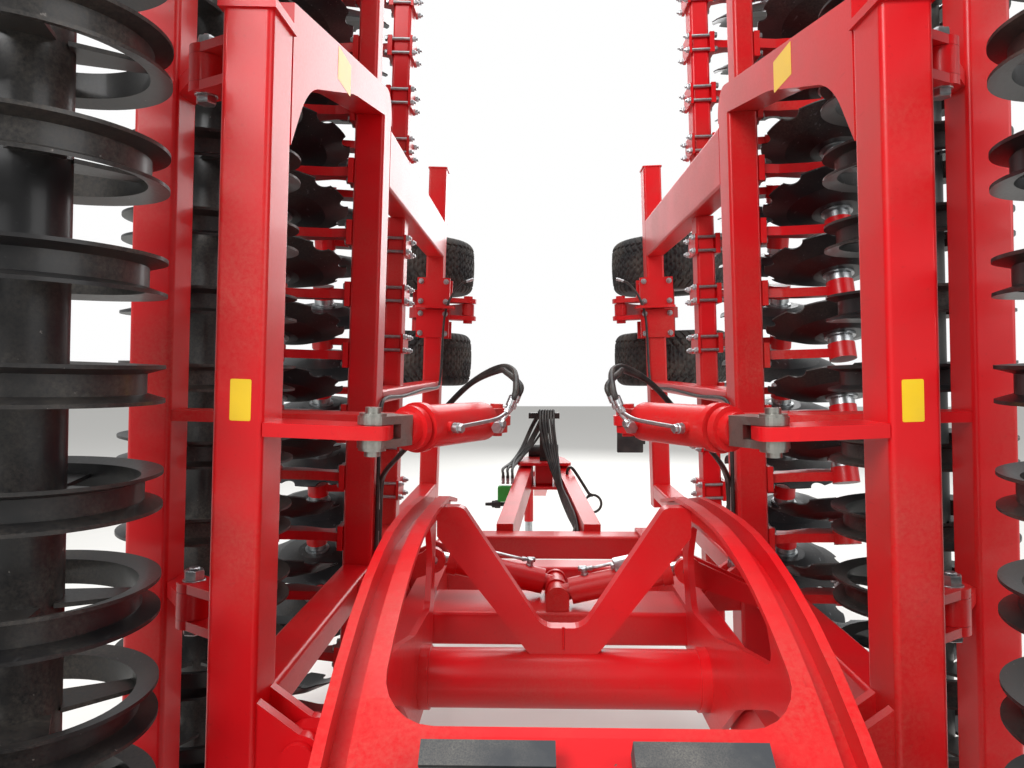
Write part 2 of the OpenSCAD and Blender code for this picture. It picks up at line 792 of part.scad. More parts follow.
module gauge_arm() {
    gauge_clamps();
    color(red)
        union() {
            for (u = [gauge_u - 75, gauge_u + 45])
                along_x(u, 30)
                    polygon(rounded([[front_tube_y - tube_w / 2, tube_top, 0],
                        [front_tube_y + tube_w / 2, tube_top, 0],
                        [gauge_pivot[0] + 62, gauge_pivot[1], 40],
                            [gauge_pivot[0] + 20, gauge_pivot[1] + 62, 40],
                        [gauge_pivot[0] - 50, gauge_pivot[1] + 50, 40]]));
            rod_x(gauge_u - 95, 190, gauge_pivot[0], gauge_pivot[1], 32);
            along_x(gauge_u - 40, 80)
                polygon(rounded([[gauge_pivot[0] - 55, gauge_pivot[1] - 20, 30],
                    [gauge_pivot[0], gauge_pivot[1] + 60, 50],
                    [gauge_pivot[0] + 130, gauge_pivot[1] - 20, 80], [gauge_y + 80, gauge_z + 30, 60],
                    [gauge_y, gauge_z - 80, 60], [gauge_y - 90, gauge_z - 10, 60],
                        [front_tube_y + tube_w / 2 + 70, gauge_pivot[1] - 130, 90]]));
            rod_x(gauge_u - gauge_half - 34, 2 * gauge_half + 68, gauge_y, gauge_z, 34);
        }
}

// Tyre: a ring with round shoulders, and its steel rim.
module tyre(r, w, rim_r) {
    rotate([0, 90, 0])
        rotate_extrude($fn = 96)
            polygon(rounded([[rim_r, -w / 2 + 40, 0], [rim_r, w / 2 - 40, 0], [rim_r + 40, w / 2 - 5, 30],
                [r - 50, w / 2, 60], [r - 6, w / 2 - 50, 30], [r, 0, 0], [r - 6, -w / 2 + 50, 30],
                [r - 50, -w / 2, 60], [rim_r + 40, -w / 2 + 5, 30]], 4));
}

module rim(r, w, bore) {
    rotate([0, 90, 0])
        rotate_extrude($fn = 72)
            polygon([[bore, -30], [bore + 70, -30], [bore + 90, -10], [r - 22, -10], [r - 22, -w / 2 + 40],
                [r, -w / 2 + 30], [r, w / 2 - 30], [r - 22, w / 2 - 40], [r - 22, 12], [bore + 90, 12],
                [bore + 70, 60], [bore, 60]]);
}

gauge_rim_r = 205;

module gauge_wheels(part) {
    for (s = [-1, 1])
        translate([gauge_u + s * gauge_half, gauge_y, gauge_z])
            mirror([s > 0 ? 1 : 0, 0, 0])
                if (part == "tyre")
                    tyre(gauge_r, gauge_w, gauge_rim_r + run);
                else
                    rim(gauge_rim_r, gauge_w, 34 + run);
}

module gauge_rims() {
    color(steel) gauge_wheels("rim");
}

module gauge_tyres() {
    color(rubber) gauge_wheels("tyre");
}

// Transport yoke, drawn from the side as Y and Z about its pivot
yoke_curve = [-325, -805];            // centre of the rear curve
yoke_band = 165;                      // depth of the arm behind the bridge
yoke_skin = 20;                       // outer side plate
yoke_wall = 12;                       // inner side plate
yoke_leg = 28;                        // width of the bent plate beside it
yoke_recess = 45;                     // floor of the channel along an arm's top
yoke_floor = 12;                      // thickness of that floor
foot_angle = 164;
box_angle = 131;
apex = [385, 480];
yoke_top = yoke_curve[1] + yoke_r;
yoke_in = yoke_out - yoke_w;
wall_x = yoke_in + yoke_leg;

function on_curve(r, a) = [yoke_curve[0] + r * cos(a), yoke_curve[1] + r * sin(a)];

// Line along the top of an arm at a depth below its edge, from the angle a0 on the curve.
function top_line(depth, a0) = concat(
    [for (i = [0 : 14]) on_curve(yoke_r - depth, a0 + (90 - a0) * i / 14)],
    [[-120, yoke_top - 2 - depth], [120, yoke_top - 17 - depth], [apex[0] - 20, apex[1] - depth]]);

// Strip between two such lines.
module yoke_strip(d0, d1, a0) {
    inner = top_line(d1, a0);
    polygon(concat(top_line(d0, a0), [for (i = [len(inner) - 1 : -1 : 0]) inner[i]]));
}

// Outer side plate: the swan neck, a ring round the pivot tube and the rounded opening.
module yoke_side() {
    foot = on_curve(yoke_r, foot_angle);
    difference() {
        polygon(concat(top_line(0, foot_angle), rounded([
            [apex[0], apex[1] - 12, 0], [apex[0] + 5, apex[1] - 60, 30], [270, 20, 60], [110, -125, 90],
            [-110, -125, 110], [-330, 60, 200], [-700, 230, 300], [-1200, -10, 300],
            [-1400, foot[1], 0], [foot[0], foot[1], 0]])));
        polygon(rounded([[-620, 285, 30], [-330, 222, 200], [-110, 165, 60], [205, 140, 50],
            [275, 290, 90], [215, 420, 50], [-300, 450, 200], [-540, 405, 120]]));
    }
}

// The part of an arm behind the bridge, a closed box down to the axle.
module yoke_rear() {
    polygon(concat(
        [for (i = [0 : 10]) on_curve(yoke_r, foot_angle + (box_angle - foot_angle) * i / 10)],
        [for (i = [0 : 10]) on_curve(yoke_r - yoke_band, box_angle + (foot_angle - box_angle) * i / 10)]));
}

module yoke_arms() {
    color(red)
        for (s = [-1, 1])
            mirror([s < 0 ? 1 : 0, 0, 0])
                difference() {
                    union() {
                        translate([0, pivot_y, pivot_z]) {
                            along_x(yoke_out - yoke_skin, yoke_skin) yoke_side();
                            along_x(wall_x, yoke_out - yoke_skin - wall_x + 1)
                                yoke_strip(yoke_recess, yoke_recess + yoke_floor, box_angle + 1);
                            along_x(wall_x, yoke_wall) yoke_strip(0, yoke_recess + 1, box_angle + 1);
                            along_x(yoke_in, yoke_w) yoke_rear();
                        }
                        along_x(yoke_in, yoke_w)
                            polygon(rounded([[axle_y - 100, tyre_r - 110, 40],
                                [axle_y + 240, tyre_r - 110, 40],
                                [axle_y + 240, tyre_r + 110, 60], [axle_y - 100, tyre_r + 110, 60]]));
                    }
                    rod_x(yoke_in - 1, yoke_w + 2, pivot_y, pivot_z, pivot_r);
                    along_x(wall_x + yoke_wall, yoke_w - yoke_leg - yoke_wall - yoke_skin)
                        translate([pivot_y, pivot_z])
                            yoke_strip(-50, yoke_recess, foot_angle - 8);
                    translate([0, axle_y - axle_w / 2, tyre_r - axle_w / 2])
                        cube([2 * yoke_out, axle_w, axle_w]);
                }
}

// Bent plate along the arms' inner edges and across between them, with a round-cornered opening.
bridge_t = 12;
bridge_y = -1030;
bridge_gap = 354;                      // half the opening's width
bridge_round = 95;

module yoke_bridge() {
    color(red)
        difference() {
            along_x(-wall_x, 2 * wall_x)
                translate([pivot_y, pivot_z]) yoke_strip(0, bridge_t, box_angle);
            translate([0, pivot_y, pivot_z])
                linear_extrude(1400, center = true)
                    polygon(rounded([[-bridge_gap, 600, 0], [-bridge_gap, bridge_y, bridge_round],
                        [bridge_gap, bridge_y, bridge_round], [bridge_gap, 600, 0]]));
        }
}

sleeve_x = 400;                        // where the pivot tube's end sleeves begin
sleeve_t = 7;

module pivot_tube() {
    color(red)
        union() {
            rod_x(-yoke_out, 2 * yoke_out, pivot_y, pivot_z, pivot_r);
            rod_x(-side_out - 6, 2 * side_out + 12, pivot_y, pivot_z, trunnion_r);
            for (x = [-yoke_out + yoke_skin, sleeve_x])
                rod_x(x, yoke_out - yoke_skin - sleeve_x, pivot_y, pivot_z, pivot_r + sleeve_t);
        }
}

// Flat plate in a V from the arms' inner plates down to the pivot tube.
brace_t = 50;
brace_top = yoke_top - 25;

module v_brace() {
    half = [[58, 40, 0], [112, pivot_r + 8, 30], [yoke_in, brace_top - 124, 0], [wall_x, brace_top - 88, 0],
        [wall_x, brace_top, 0], [yoke_in - 50, brace_top, 30], [60, pivot_r + 74, 60]];
    color(red)
        difference() {
            translate([0, pivot_y, pivot_z])
                along_y(-brace_t / 2, brace_t)
                    polygon(rounded(concat(half,
                        [for (i = [len(half) - 1 : -1 : 0]) [-half[i][0], half[i][1], half[i][2]]])));
            rod_x(-yoke_out, 2 * yoke_out, pivot_y, pivot_z, pivot_r);
        }
}

// Rubber pads on the bridge behind its opening, each with two grooves.
pad_angle = 126.4;
pad_x = 165;
pad_w = 210;
pad_long = 140;
pad_t = 44;

module rubber_pads() {
    q = on_curve(yoke_r, pad_angle);
    color(rubber)
        for (s = [-1, 1])
            translate([s * pad_x - pad_w / 2, pivot_y + q[0], pivot_z + q[1]])
                rotate([pad_angle - 90, 0, 0])
                    difference() {
                        translate([0, -pad_long / 2, seat]) cube([pad_w, pad_long, pad_t]);
                        for (y = [-28, 22])
                            translate([-1, y, pad_t - 8]) cube([pad_w + 2, 8, 20]);
                    }
}

axle_w = 130;
spindle_r = 45;

module axle() {
    color(red)
        union() {
            translate([-track_half + 130, axle_y - axle_w / 2, tyre_r - axle_w / 2])
                cube([2 * (track_half - 130), axle_w, axle_w]);
            for (s = [-1, 1])
                rod_x(s > 0 ? track_half - 131 : -track_half - 70, 201, axle_y, tyre_r, spindle_r);
        }
}

rim_r = 290;

module road_wheel(side, part) {
    translate([side * track_half, axle_y, tyre_r])
        mirror([side > 0 ? 1 : 0, 0, 0])
            if (part == "tyre")
                tyre(tyre_r, tyre_w, rim_r + run);
            else
                rim(rim_r, tyre_w, spindle_r + run);
}

// Drawbar
draw_back = [235, 0, 860];             // X and Z where a beam leaves the front cross member
draw_apex = [120, 3150, 1020];         // X, place ahead of the pivot tube and Z

apex_plate_t = 20;
tongue_w = 120;

module drawbar() {
    color(red)
        union() {
            for (s = [-1, 1])
                mirror([s < 0 ? 1 : 0, 0, 0])
                    draw_beam();
            for (z = [draw_apex[2] + draw_h / 2 - 2, draw_apex[2] - draw_h / 2 - apex_plate_t + 2])
                translate([0, pivot_y, z])
                    linear_extrude(apex_plate_t)
                        polygon(rounded([[-190, 2950, 30], [190, 2950, 30], [150, 3260, 40],
                            [tongue_w / 2, 3480, 20], [-tongue_w / 2, 3480, 20], [-150, 3260, 40]]));
            along_x(-tongue_w / 2, tongue_w)
                polygon(rounded([[pivot_y + 3020, draw_apex[2] - draw_h / 2, 20],
                    [pivot_y + 3020, draw_apex[2] + draw_h / 2, 20],
                    [pivot_y + 3560, draw_apex[2] + draw_h / 2, 200],
                    [hitch_y - 260, hitch_z + 80, 60], [hitch_y - 130, hitch_z + 40, 0],
                        [hitch_y - 130, hitch_z - 40, 0],
                    [hitch_y - 300, hitch_z - 90, 60],
                        [pivot_y + 3500, draw_apex[2] - draw_h / 2 - 20, 300]]));
        }
}

// One beam of the frame in A, cut flush with the front cross member.
module draw_beam() {
    y0 = pivot_y + crosses[2][0] + crosses[2][1] / 2;
    run_y = pivot_y + draw_apex[1] - y0;
    rise = draw_apex[2] - draw_back[2];
    long = norm([run_y, draw_back[0] - draw_apex[0], rise]);
    yaw = atan2(draw_back[0] - draw_apex[0], run_y);
    difference() {
        translate([draw_back[0], y0, draw_back[2]])
            rotate([asin(rise / long), 0, yaw])
                translate([-draw_w / 2, -60, -draw_h / 2])
                    cube([draw_w, long + 60, draw_h]);
        translate([0, y0 - 200, draw_back[2] - 300]) cube([500, 200, 600]);
    }
}

module hitch_eye() {
    color(steel)
        difference() {
            union() {
                translate([0, hitch_y, hitch_z - hitch_t / 2]) cylinder(r = eye_r, h = hitch_t);
                translate([-40, hitch_y - 130, hitch_z - hitch_t / 2]) cube([80, 130, hitch_t]);
            }
            translate([0, hitch_y, hitch_z - hitch_t]) cylinder(r = hitch_bore_r, h = 2 * hitch_t);
        }
}

// Parking jack
jack_y = pivot_y + 4350;
jack_x = -110;
jack_r = 40;
jack_leg_r = jack_r - 8;

module jack_tube() {
    color(red)
        difference() {
            union() {
                translate([jack_x, jack_y, 420]) cylinder(r = jack_r, h = 560);
                translate([jack_x, jack_y - 40, 760]) cube([-60 - jack_x, 80, 100]);
            }
            translate([jack_x, jack_y, 400]) cylinder(r = jack_leg_r + 0.1, h = 540);
        }
}

module jack_leg() {
    color(steel)
        union() {
            translate([jack_x, jack_y, 12]) cylinder(r = jack_leg_r, h = 600);
            translate([jack_x, jack_y, 0]) cylinder(r = 110, h = 14);
        }
}

module document_tube() {
    color(dark)
        rod_x(-110, 220, pivot_y + 3330, draw_apex[2] + draw_h / 2 + apex_plate_t - 2 + 45 + seat, 45);
}

module hose_rack() {
    base = draw_apex[2] + draw_h / 2 + apex_plate_t - 2;
    color(dark)
        union() {
            translate([-30, pivot_y + 3100, base]) cube([60, 12, 330]);
            translate([-30, pivot_y + 3060, base]) cube([60, 52, 12]);
            translate([-110, pivot_y + 3080, base + 300]) cube([220, 50, 40]);
        }
}

side_beams();
cross_members();
drawbar();
hitch_eye();
jack_tube();
jack_leg();
yoke_arms();
yoke_bridge();
pivot_tube();
v_brace();
rubber_pads();
axle();
color(steel) road_wheel(-1, "rim");  // rim_left
color(steel) road_wheel(1, "rim");  // rim_right
color(rubber) road_wheel(-1, "tyre");  // tyre_left
color(rubber) road_wheel(1, "tyre");  // tyre_right
document_tube();
hose_rack();
folded(-1) rear_tube();  // rear_tube_left
folded(-1) mid_tube();  // mid_tube_left
folded(-1) front_tube();  // front_tube_left
folded(-1) frame_beams(-1);  // frame_beams_left
folded(-1) disc_beam();  // disc_beam_left
folded(-1) disc_arms();  // disc_arms_left
folded(-1) disc_hubs();  // disc_hubs_left
folded(-1) discs();  // discs_left
folded(-1) roller_carrier();  // roller_carrier_left
folded(-1) roller_plates();  // roller_plates_left
folded(-1) roller(rear_roller_y);  // roller_rear_left
folded(-1) roller(front_roller_y);  // roller_front_left
folded(-1) gauge_arm();  // gauge_arm_left
folded(-1) gauge_rims();  // gauge_rims_left
folded(-1) gauge_tyres();  // gauge_tyres_left
folded(-1) depth_cylinder();  // depth_cylinder_left
folded(-1) depth_fork();  // depth_fork_left
fold_barrel(-1);  // fold_barrel_left
fold_rod(-1);  // fold_rod_left
folded(1) rear_tube();  // rear_tube_right
folded(1) mid_tube();  // mid_tube_right
folded(1) front_tube();  // front_tube_right
folded(1) frame_beams(1);  // frame_beams_right
folded(1) disc_beam();  // disc_beam_right
folded(1) disc_arms();  // disc_arms_right
folded(1) disc_hubs();  // disc_hubs_right
folded(1) discs();  // discs_right
folded(1) roller_carrier();  // roller_carrier_right
folded(1) roller_plates();  // roller_plates_right
folded(1) roller(rear_roller_y);  // roller_rear_right
folded(1) roller(front_roller_y);  // roller_front_right
folded(1) gauge_arm();  // gauge_arm_right
folded(1) gauge_rims();  // gauge_rims_right
folded(1) gauge_tyres();  // gauge_tyres_right
folded(1) depth_cylinder();  // depth_cylinder_right
folded(1) depth_fork();  // depth_fork_right
fold_barrel(1);  // fold_barrel_right
fold_rod(1);  // fold_rod_right
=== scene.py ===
import json
import math

import bpy
import numpy as np
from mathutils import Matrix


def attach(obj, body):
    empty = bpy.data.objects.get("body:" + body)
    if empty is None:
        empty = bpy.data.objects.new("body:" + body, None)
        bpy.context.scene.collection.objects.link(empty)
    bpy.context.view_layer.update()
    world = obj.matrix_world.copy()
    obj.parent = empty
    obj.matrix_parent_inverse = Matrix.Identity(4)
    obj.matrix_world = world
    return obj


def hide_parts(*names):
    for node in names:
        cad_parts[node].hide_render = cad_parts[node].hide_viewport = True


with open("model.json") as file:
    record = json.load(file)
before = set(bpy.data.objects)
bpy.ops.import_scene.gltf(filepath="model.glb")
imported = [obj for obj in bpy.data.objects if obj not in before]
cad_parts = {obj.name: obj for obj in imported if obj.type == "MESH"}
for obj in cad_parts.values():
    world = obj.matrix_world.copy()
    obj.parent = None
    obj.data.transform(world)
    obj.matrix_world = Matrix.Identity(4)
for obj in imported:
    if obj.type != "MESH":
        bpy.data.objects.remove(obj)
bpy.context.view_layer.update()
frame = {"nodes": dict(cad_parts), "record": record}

print("frame loaded:", len(frame["nodes"]), "nodes")

sides = ("left", "right")


# Stage, light and camera

cameraSettings = {
    "place": (-0.10, -4.0585, 1.78),   # just behind the machine, a little left of its middle
    "focalPixels": 750.0,              # focal length in pixels of a picture 1024 wide
    "vanishing": (530.0, 367.0),       # pixel towards which the machine's length runs
    "picture": (1024.0, 768.0),
    "sensorWidth": 36.0,
}

lightSettings = {
    "worldStrength": 0.55,
    "floorSize": 60.0,
    "floorColour": "#e4e3df",
    "lamps": [
        # name, place, target, size, watts
        ("keyLamp", (-4.5, -8.5, 7.0), (0.0, -1.0, 1.4), 5.0, 900),
        ("fillLamp", (6.5, -6.0, 5.0), (0.0, 0.0, 1.4), 6.0, 330),
        ("topLamp", (0.0, 1.0, 8.5), (0.0, 0.5, 1.0), 6.0, 420),
        ("frontLamp", (2.0, 9.0, 5.5), (0.0, 1.5, 1.0), 6.0, 420),
    ],
}


# sRGB hex to linear: below 0.04045 divided by 12.92, above it a power of 2.4
def hexToLinear(text):
    value = np.array([int(text[i:i + 2], 16) for i in (1, 3, 5)]) / 255.0
    linear = np.where(value <= 0.04045, value / 12.92, ((value + 0.055) / 1.055) ** 2.4)
    return tuple(float(c) for c in linear) + (1.0,)


# settings are a node's properties or its inputs' values; links feed its inputs (i0 is the first) from a
# socket or from a node's first output
def addNode(tree, kind, settings=None, **links):
    node = tree.nodes.new("ShaderNode" + kind)
    for key, value in (settings or {}).items():
        if isinstance(key, int) or key in node.inputs:
            node.inputs[key].default_value = value
        else:
            setattr(node, key, value)
    for name, source in links.items():
        numbered = name[0] == "i" and name[1:].isdigit()
        output = source.outputs[0] if hasattr(source, "outputs") else source
        tree.links.new(output, node.inputs[int(name[1:]) if numbered else name])
    return node


# a new material, its empty tree and the object's own coordinates in it
def newMaterial(name):
    material = bpy.data.materials.new(name)
    material.use_nodes = True
    tree = material.node_tree
    tree.nodes.clear()
    return material, tree, addNode(tree, "TexCoord").outputs["Object"]


def makeStage():
    world = bpy.data.worlds.new("studio")
    bpy.context.scene.world = world
    world.use_nodes = True
    tree = world.node_tree
    tree.nodes.clear()
    white = (1.0, 1.0, 1.0, 1.0)
    light = addNode(tree, "Background", {"Color": white, "Strength": lightSettings["worldStrength"]})
    backdrop = addNode(tree, "Background", {"Color": white, "Strength": 1.0})
    seen = addNode(tree, "LightPath").outputs["Is Camera Ray"]
    choice = addNode(tree, "MixShader", None, i0=seen, i1=light, i2=backdrop)
    addNode(tree, "OutputWorld", None, Surface=choice)

    half = lightSettings["floorSize"] / 2
    mesh = bpy.data.meshes.new("studioFloor")
    corners = [(-half, -half, 0), (half, -half, 0), (half, half, 0), (-half, half, 0)]
    mesh.from_pydata(corners, [], [(0, 1, 2, 3)])
    floor = bpy.data.objects.new("studioFloor", mesh)
    bpy.context.collection.objects.link(floor)
    material, tree, _ = newMaterial("paintedFloor")
    shader = addNode(tree, "BsdfPrincipled", {"Base Color": hexToLinear(lightSettings["floorColour"]),
                                              "Roughness": 0.85})
    addNode(tree, "OutputMaterial", None, Surface=shader)
    mesh.materials.append(material)

    for name, place, target, size, watts in lightSettings["lamps"]:
        data = bpy.data.lights.new(name, "AREA")
        data.shape = "SQUARE"
        data.size = size
        data.energy = watts
        lamp = bpy.data.objects.new(name, data)
        bpy.context.collection.objects.link(lamp)
        lamp.location = place
        aim(lamp, place, target)


# turns a lamp so that its local -Z points from place to target
def aim(thing, place, target):
    d = np.array(target, float) - np.array(place, float)
    tilt = math.atan2(math.hypot(d[0], d[1]), -d[2])
    thing.rotation_euler = (tilt, 0.0, math.atan2(d[1], d[0]) - math.pi / 2)


def makeCamera():
    data = bpy.data.cameras.new("camera")
    width, height = cameraSettings["picture"]
    focal = cameraSettings["focalPixels"]
    data.sensor_width = cameraSettings["sensorWidth"]
    data.lens = focal * data.sensor_width / width
    data.clip_start = 0.02
    data.clip_end = 200.0
    camera = bpy.data.objects.new("camera", data)
    bpy.context.collection.objects.link(camera)
    camera.location = cameraSettings["place"]
    # the vanishing point's distance from the picture's centre gives yaw and pitch
    yaw = math.atan((cameraSettings["vanishing"][0] - width / 2) / focal)
    pitch = math.atan((height / 2 - cameraSettings["vanishing"][1]) / focal)
    camera.rotation_euler = (math.pi / 2 - pitch, 0.0, yaw)
    bpy.context.scene.camera = camera


bpy.context.scene.view_settings.view_transform = "Standard"
makeStage()
makeCamera()
print("stage and camera set")


# Materials: every pattern is laid out over the object's own coordinates, and sizes are in millimetres

cloudNoise = {"Detail": 4.0, "Roughness": 0.55}     # soft patches; its Scale is 1000 over the patches' width
fineNoise = {"Detail": 3.0, "Roughness": 0.55}
gritNoise = {"Detail": 4.0, "Roughness": 0.7}       # patches broken up by finer ones
chipNoise = {"Detail": 5.0, "Roughness": 0.65}
grimeNoise = {"Detail": 5.0, "Roughness": 0.7}


# share times the product of the noises, each counted as 0 below its low and 1 above its high value
def amountOf(tree, share, *noises):
    total = None
    for noise, low, high in noises:
        part = addNode(tree, "MapRange", {1: low, 2: high}, i0=noise)
        if total is not None:
            part = addNode(tree, "Math", {"operation": "MULTIPLY"}, i0=total, i1=part)
        total = part
    return addNode(tree, "Math", {"operation": "MULTIPLY", 1: share}, i0=total)


# the first colour with others laid over it, each as far as its amount says
def layered(tree, first, layers):
    colour = None
    for amount, top in layers:
        node = addNode(tree, "Mix", {"data_type": "RGBA", 7: hexToLinear(top)}, i0=amount)
        if colour is None:
            node.inputs[6].default_value = hexToLinear(first)
        else:
            tree.links.new(colour, node.inputs[6])
        colour = node.outputs[2]
    return colour


# sprayed paint: slow fading, dust in soft clouds, small chips with a dark rim, orange peel in the gloss
def sprayedPaint(name, values):
    material, tree, place = newMaterial(name)
    along = addNode(tree, "Mapping", {"Scale": (1.0, 0.12, 1.0)}, i0=place)
    cloud = addNode(tree, "TexNoise", dict(cloudNoise, Scale=1000.0 / values["cloudSize"]), i0=place)
    grain = addNode(tree, "TexNoise", dict(gritNoise, Scale=1000.0 / values["dustSize"]), i0=place)
    speck = addNode(tree, "TexNoise", dict(chipNoise, Scale=1000.0 / values["chipSize"]), i0=place)
    streaks = addNode(tree, "TexNoise", dict(fineNoise, Scale=1000.0 / values["rubSize"]), i0=along)
    peel = addNode(tree, "TexNoise", {"Scale": 1000.0 / values["peelSize"], "Detail": 2.0, "Roughness": 0.55},
                   i0=place)
    dust = amountOf(tree, values["dust"], (cloud, *values["dustClouds"]), (grain, *values["dustGrain"]))
    chip = amountOf(tree, 1.0, (speck, values["chipFrom"], values["chipFrom"] + 0.02))
    colour = layered(tree, values["colour"], [
        (amountOf(tree, 1.0, (cloud, 0.35, 0.7)), values["faded"]),
        (dust, values["dustColour"]),
        (amountOf(tree, values["rubs"], (streaks, 0.66, 0.76)), values["rubColour"]),
        (chip, values["under"]),
    ])
    gloss = addNode(tree, "MapRange", {3: values["rough"] - 0.06, 4: values["rough"] + 0.1}, i0=grain)
    dull = addNode(tree, "Math", {"operation": "MULTIPLY", 1: 0.5}, i0=dust)
    rough = addNode(tree, "Math", {"operation": "ADD", "use_clamp": True}, i0=gloss, i1=dull)
    skin = addNode(tree, "Bump", {"Strength": 1.0, "Distance": values["peelDepth"] / 1000.0}, Height=peel)
    bump = addNode(tree, "Bump", {"Strength": 1.0, "Distance": -values["chipDepth"] / 1000.0}, Height=chip,
                   Normal=skin)
    shader = addNode(tree, "BsdfPrincipled", {
        "Specular IOR Level": values["shine"], "Coat Weight": values["coat"], "Coat Roughness": 0.12,
    }, i0=colour, Roughness=rough, Normal=bump)
    addNode(tree, "OutputMaterial", None, Surface=shader)
    return material


# metal: mottled tone, fine scratches along one way, dirt in random noise patches
def metalSurface(name, values):
    material, tree, place = newMaterial(name)
    along = addNode(tree, "Mapping", {"Scale": values["along"]}, i0=place)
    cloud = addNode(tree, "TexNoise", dict(cloudNoise, Scale=1000.0 / values["cloudSize"]), i0=place)
    scratch = addNode(tree, "TexNoise", {"Scale": 1000.0 / values["scratchSize"], "Detail": 3.0,
                                         "Roughness": 0.6}, i0=along)
    dirt = addNode(tree, "TexNoise", dict(grimeNoise, Scale=1000.0 / values["grimeSize"]), i0=place)
    grime = amountOf(tree, values["grime"], (dirt, 0.52, 0.75))
    colour = layered(tree, values["colour"], [
        (amountOf(tree, 1.0, (cloud, 0.3, 0.7)), values["second"]),
        (grime, values["grimeColour"]),
    ])
    clean = addNode(tree, "Math", {"operation": "SUBTRACT", 0: 1.0}, i1=grime)
    rough = addNode(tree, "MapRange", {3: values["rough"] - 0.08, 4: values["rough"] + 0.12}, i0=scratch)
    bump = addNode(tree, "Bump", {"Strength": 1.0, "Distance": values["depth"] / 1000.0}, Height=scratch)
    shader = addNode(tree, "BsdfPrincipled", None, i0=colour, Metallic=clean, Roughness=rough, Normal=bump)
    addNode(tree, "OutputMaterial", None, Surface=shader)
    return material


# rubber and plastic: dull, with a fine grain and dust that greys it
def softSurface(name, values):
    material, tree, place = newMaterial(name)
    cloud = addNode(tree, "TexNoise", dict(cloudNoise, Scale=1000.0 / values["cloudSize"]), i0=place)
    grain = addNode(tree, "TexNoise", {"Scale": 1000.0 / values["grainSize"], "Detail": 3.0,
                                       "Roughness": 0.6}, i0=place)
    dust = amountOf(tree, values["dust"], (cloud, *values["dustClouds"]), (grain, *values["dustGrain"]))
    colour = layered(tree, values["colour"], [(dust, values["dustColour"])])
    rough = addNode(tree, "MapRange", {3: values["rough"] - 0.1, 4: values["rough"] + 0.08}, i0=grain)
    bump = addNode(tree, "Bump", {"Strength": 1.0, "Distance": values["depth"] / 1000.0}, Height=grain)
    shader = addNode(tree, "BsdfPrincipled", None, i0=colour, Roughness=rough, Normal=bump)
    addNode(tree, "OutputMaterial", None, Surface=shader)
    return material


redValues = {
    "colour": "#d10f18", "faded": "#bd1218",       # signal red, a little darker where it has faded
    "dust": 0.2, "dustColour": "#a88f78",          # how much pale soil lies in the clouds
    "dustClouds": (0.42, 0.72), "dustGrain": (0.3, 0.75),
    "rubs": 0.25, "rubColour": "#8e1216",          # dull marks from handling
    "chipFrom": 0.735, "chipSize": 26.0, "chipDepth": 0.12, "under": "#5b4a42",
    "rough": 0.32, "shine": 0.3, "coat": 0.12,     # the coat is the thin clear gloss over the red
    "cloudSize": 420.0, "dustSize": 9.0, "rubSize": 16.0,
    "peelSize": 3.0, "peelDepth": 0.05,            # orange peel left by the spray gun
}
blackValues = dict(redValues, colour="#161617", faded="#232325", dust=0.4, dustColour="#8d8274",
                   rubColour="#4a4a4c", under="#6f6a66", rough=0.36, coat=0.1, chipFrom=0.7)
discValues = dict(blackValues, colour="#1a1b1d", faded="#26272a", rubs=0.6, rubColour="#77797c", dust=0.3,
                  chipFrom=0.68, chipSize=12.0)
silverValues = dict(redValues, colour="#b4b6b8", faded="#a2a4a6", dust=0.45, dustColour="#8c8173",
                    rubColour="#7c7d7e", under="#5e5a55", rough=0.38, coat=0.1)
steelValues = {
    "colour": "#a9a8a1", "second": "#8b8a85", "grime": 0.5, "grimeColour": "#5d5148", "rough": 0.36,
    "cloudSize": 90.0, "grimeSize": 45.0,
    "scratchSize": 4.0, "depth": 0.04,             # coarser than real scratches, so that they show
    "along": (1.0, 0.08, 1.0),                     # drawn out along the machine
}
zincValues = dict(steelValues, colour="#c3c6c7", second="#a3a7aa", grime=0.22, rough=0.34, cloudSize=18.0,
                  depth=0.03)
chromeValues = dict(steelValues, colour="#d9dadb", second="#cfd1d3", grime=0.08, rough=0.14, depth=0.006)
rubberValues = {
    "colour": "#33363a", "dustColour": "#8b857b", "dust": 0.5, "dustClouds": (0.38, 0.7),
    "dustGrain": (0.25, 0.7), "rough": 0.72, "cloudSize": 120.0,
    "grainSize": 2.5, "depth": 0.12,               # coarser than the mould's own grain, so that it shows
}
tyreValues = dict(rubberValues, colour="#19191a", dustColour="#7d7264", dust=0.42, rough=0.8, cloudSize=160.0,
                  depth=0.2)
plasticValues = dict(rubberValues, colour="#18181a", dust=0.25, rough=0.5, grainSize=1.2, depth=0.05)
hoseValues = dict(rubberValues, colour="#151516", dust=0.3, rough=0.55, cloudSize=70.0, grainSize=3.0,
                  depth=0.1)
filmValues = dict(plasticValues, colour="#f0c51a", dustColour="#b39a50", rough=0.4)
greenValues = dict(plasticValues, colour="#35b045", dust=0.1)

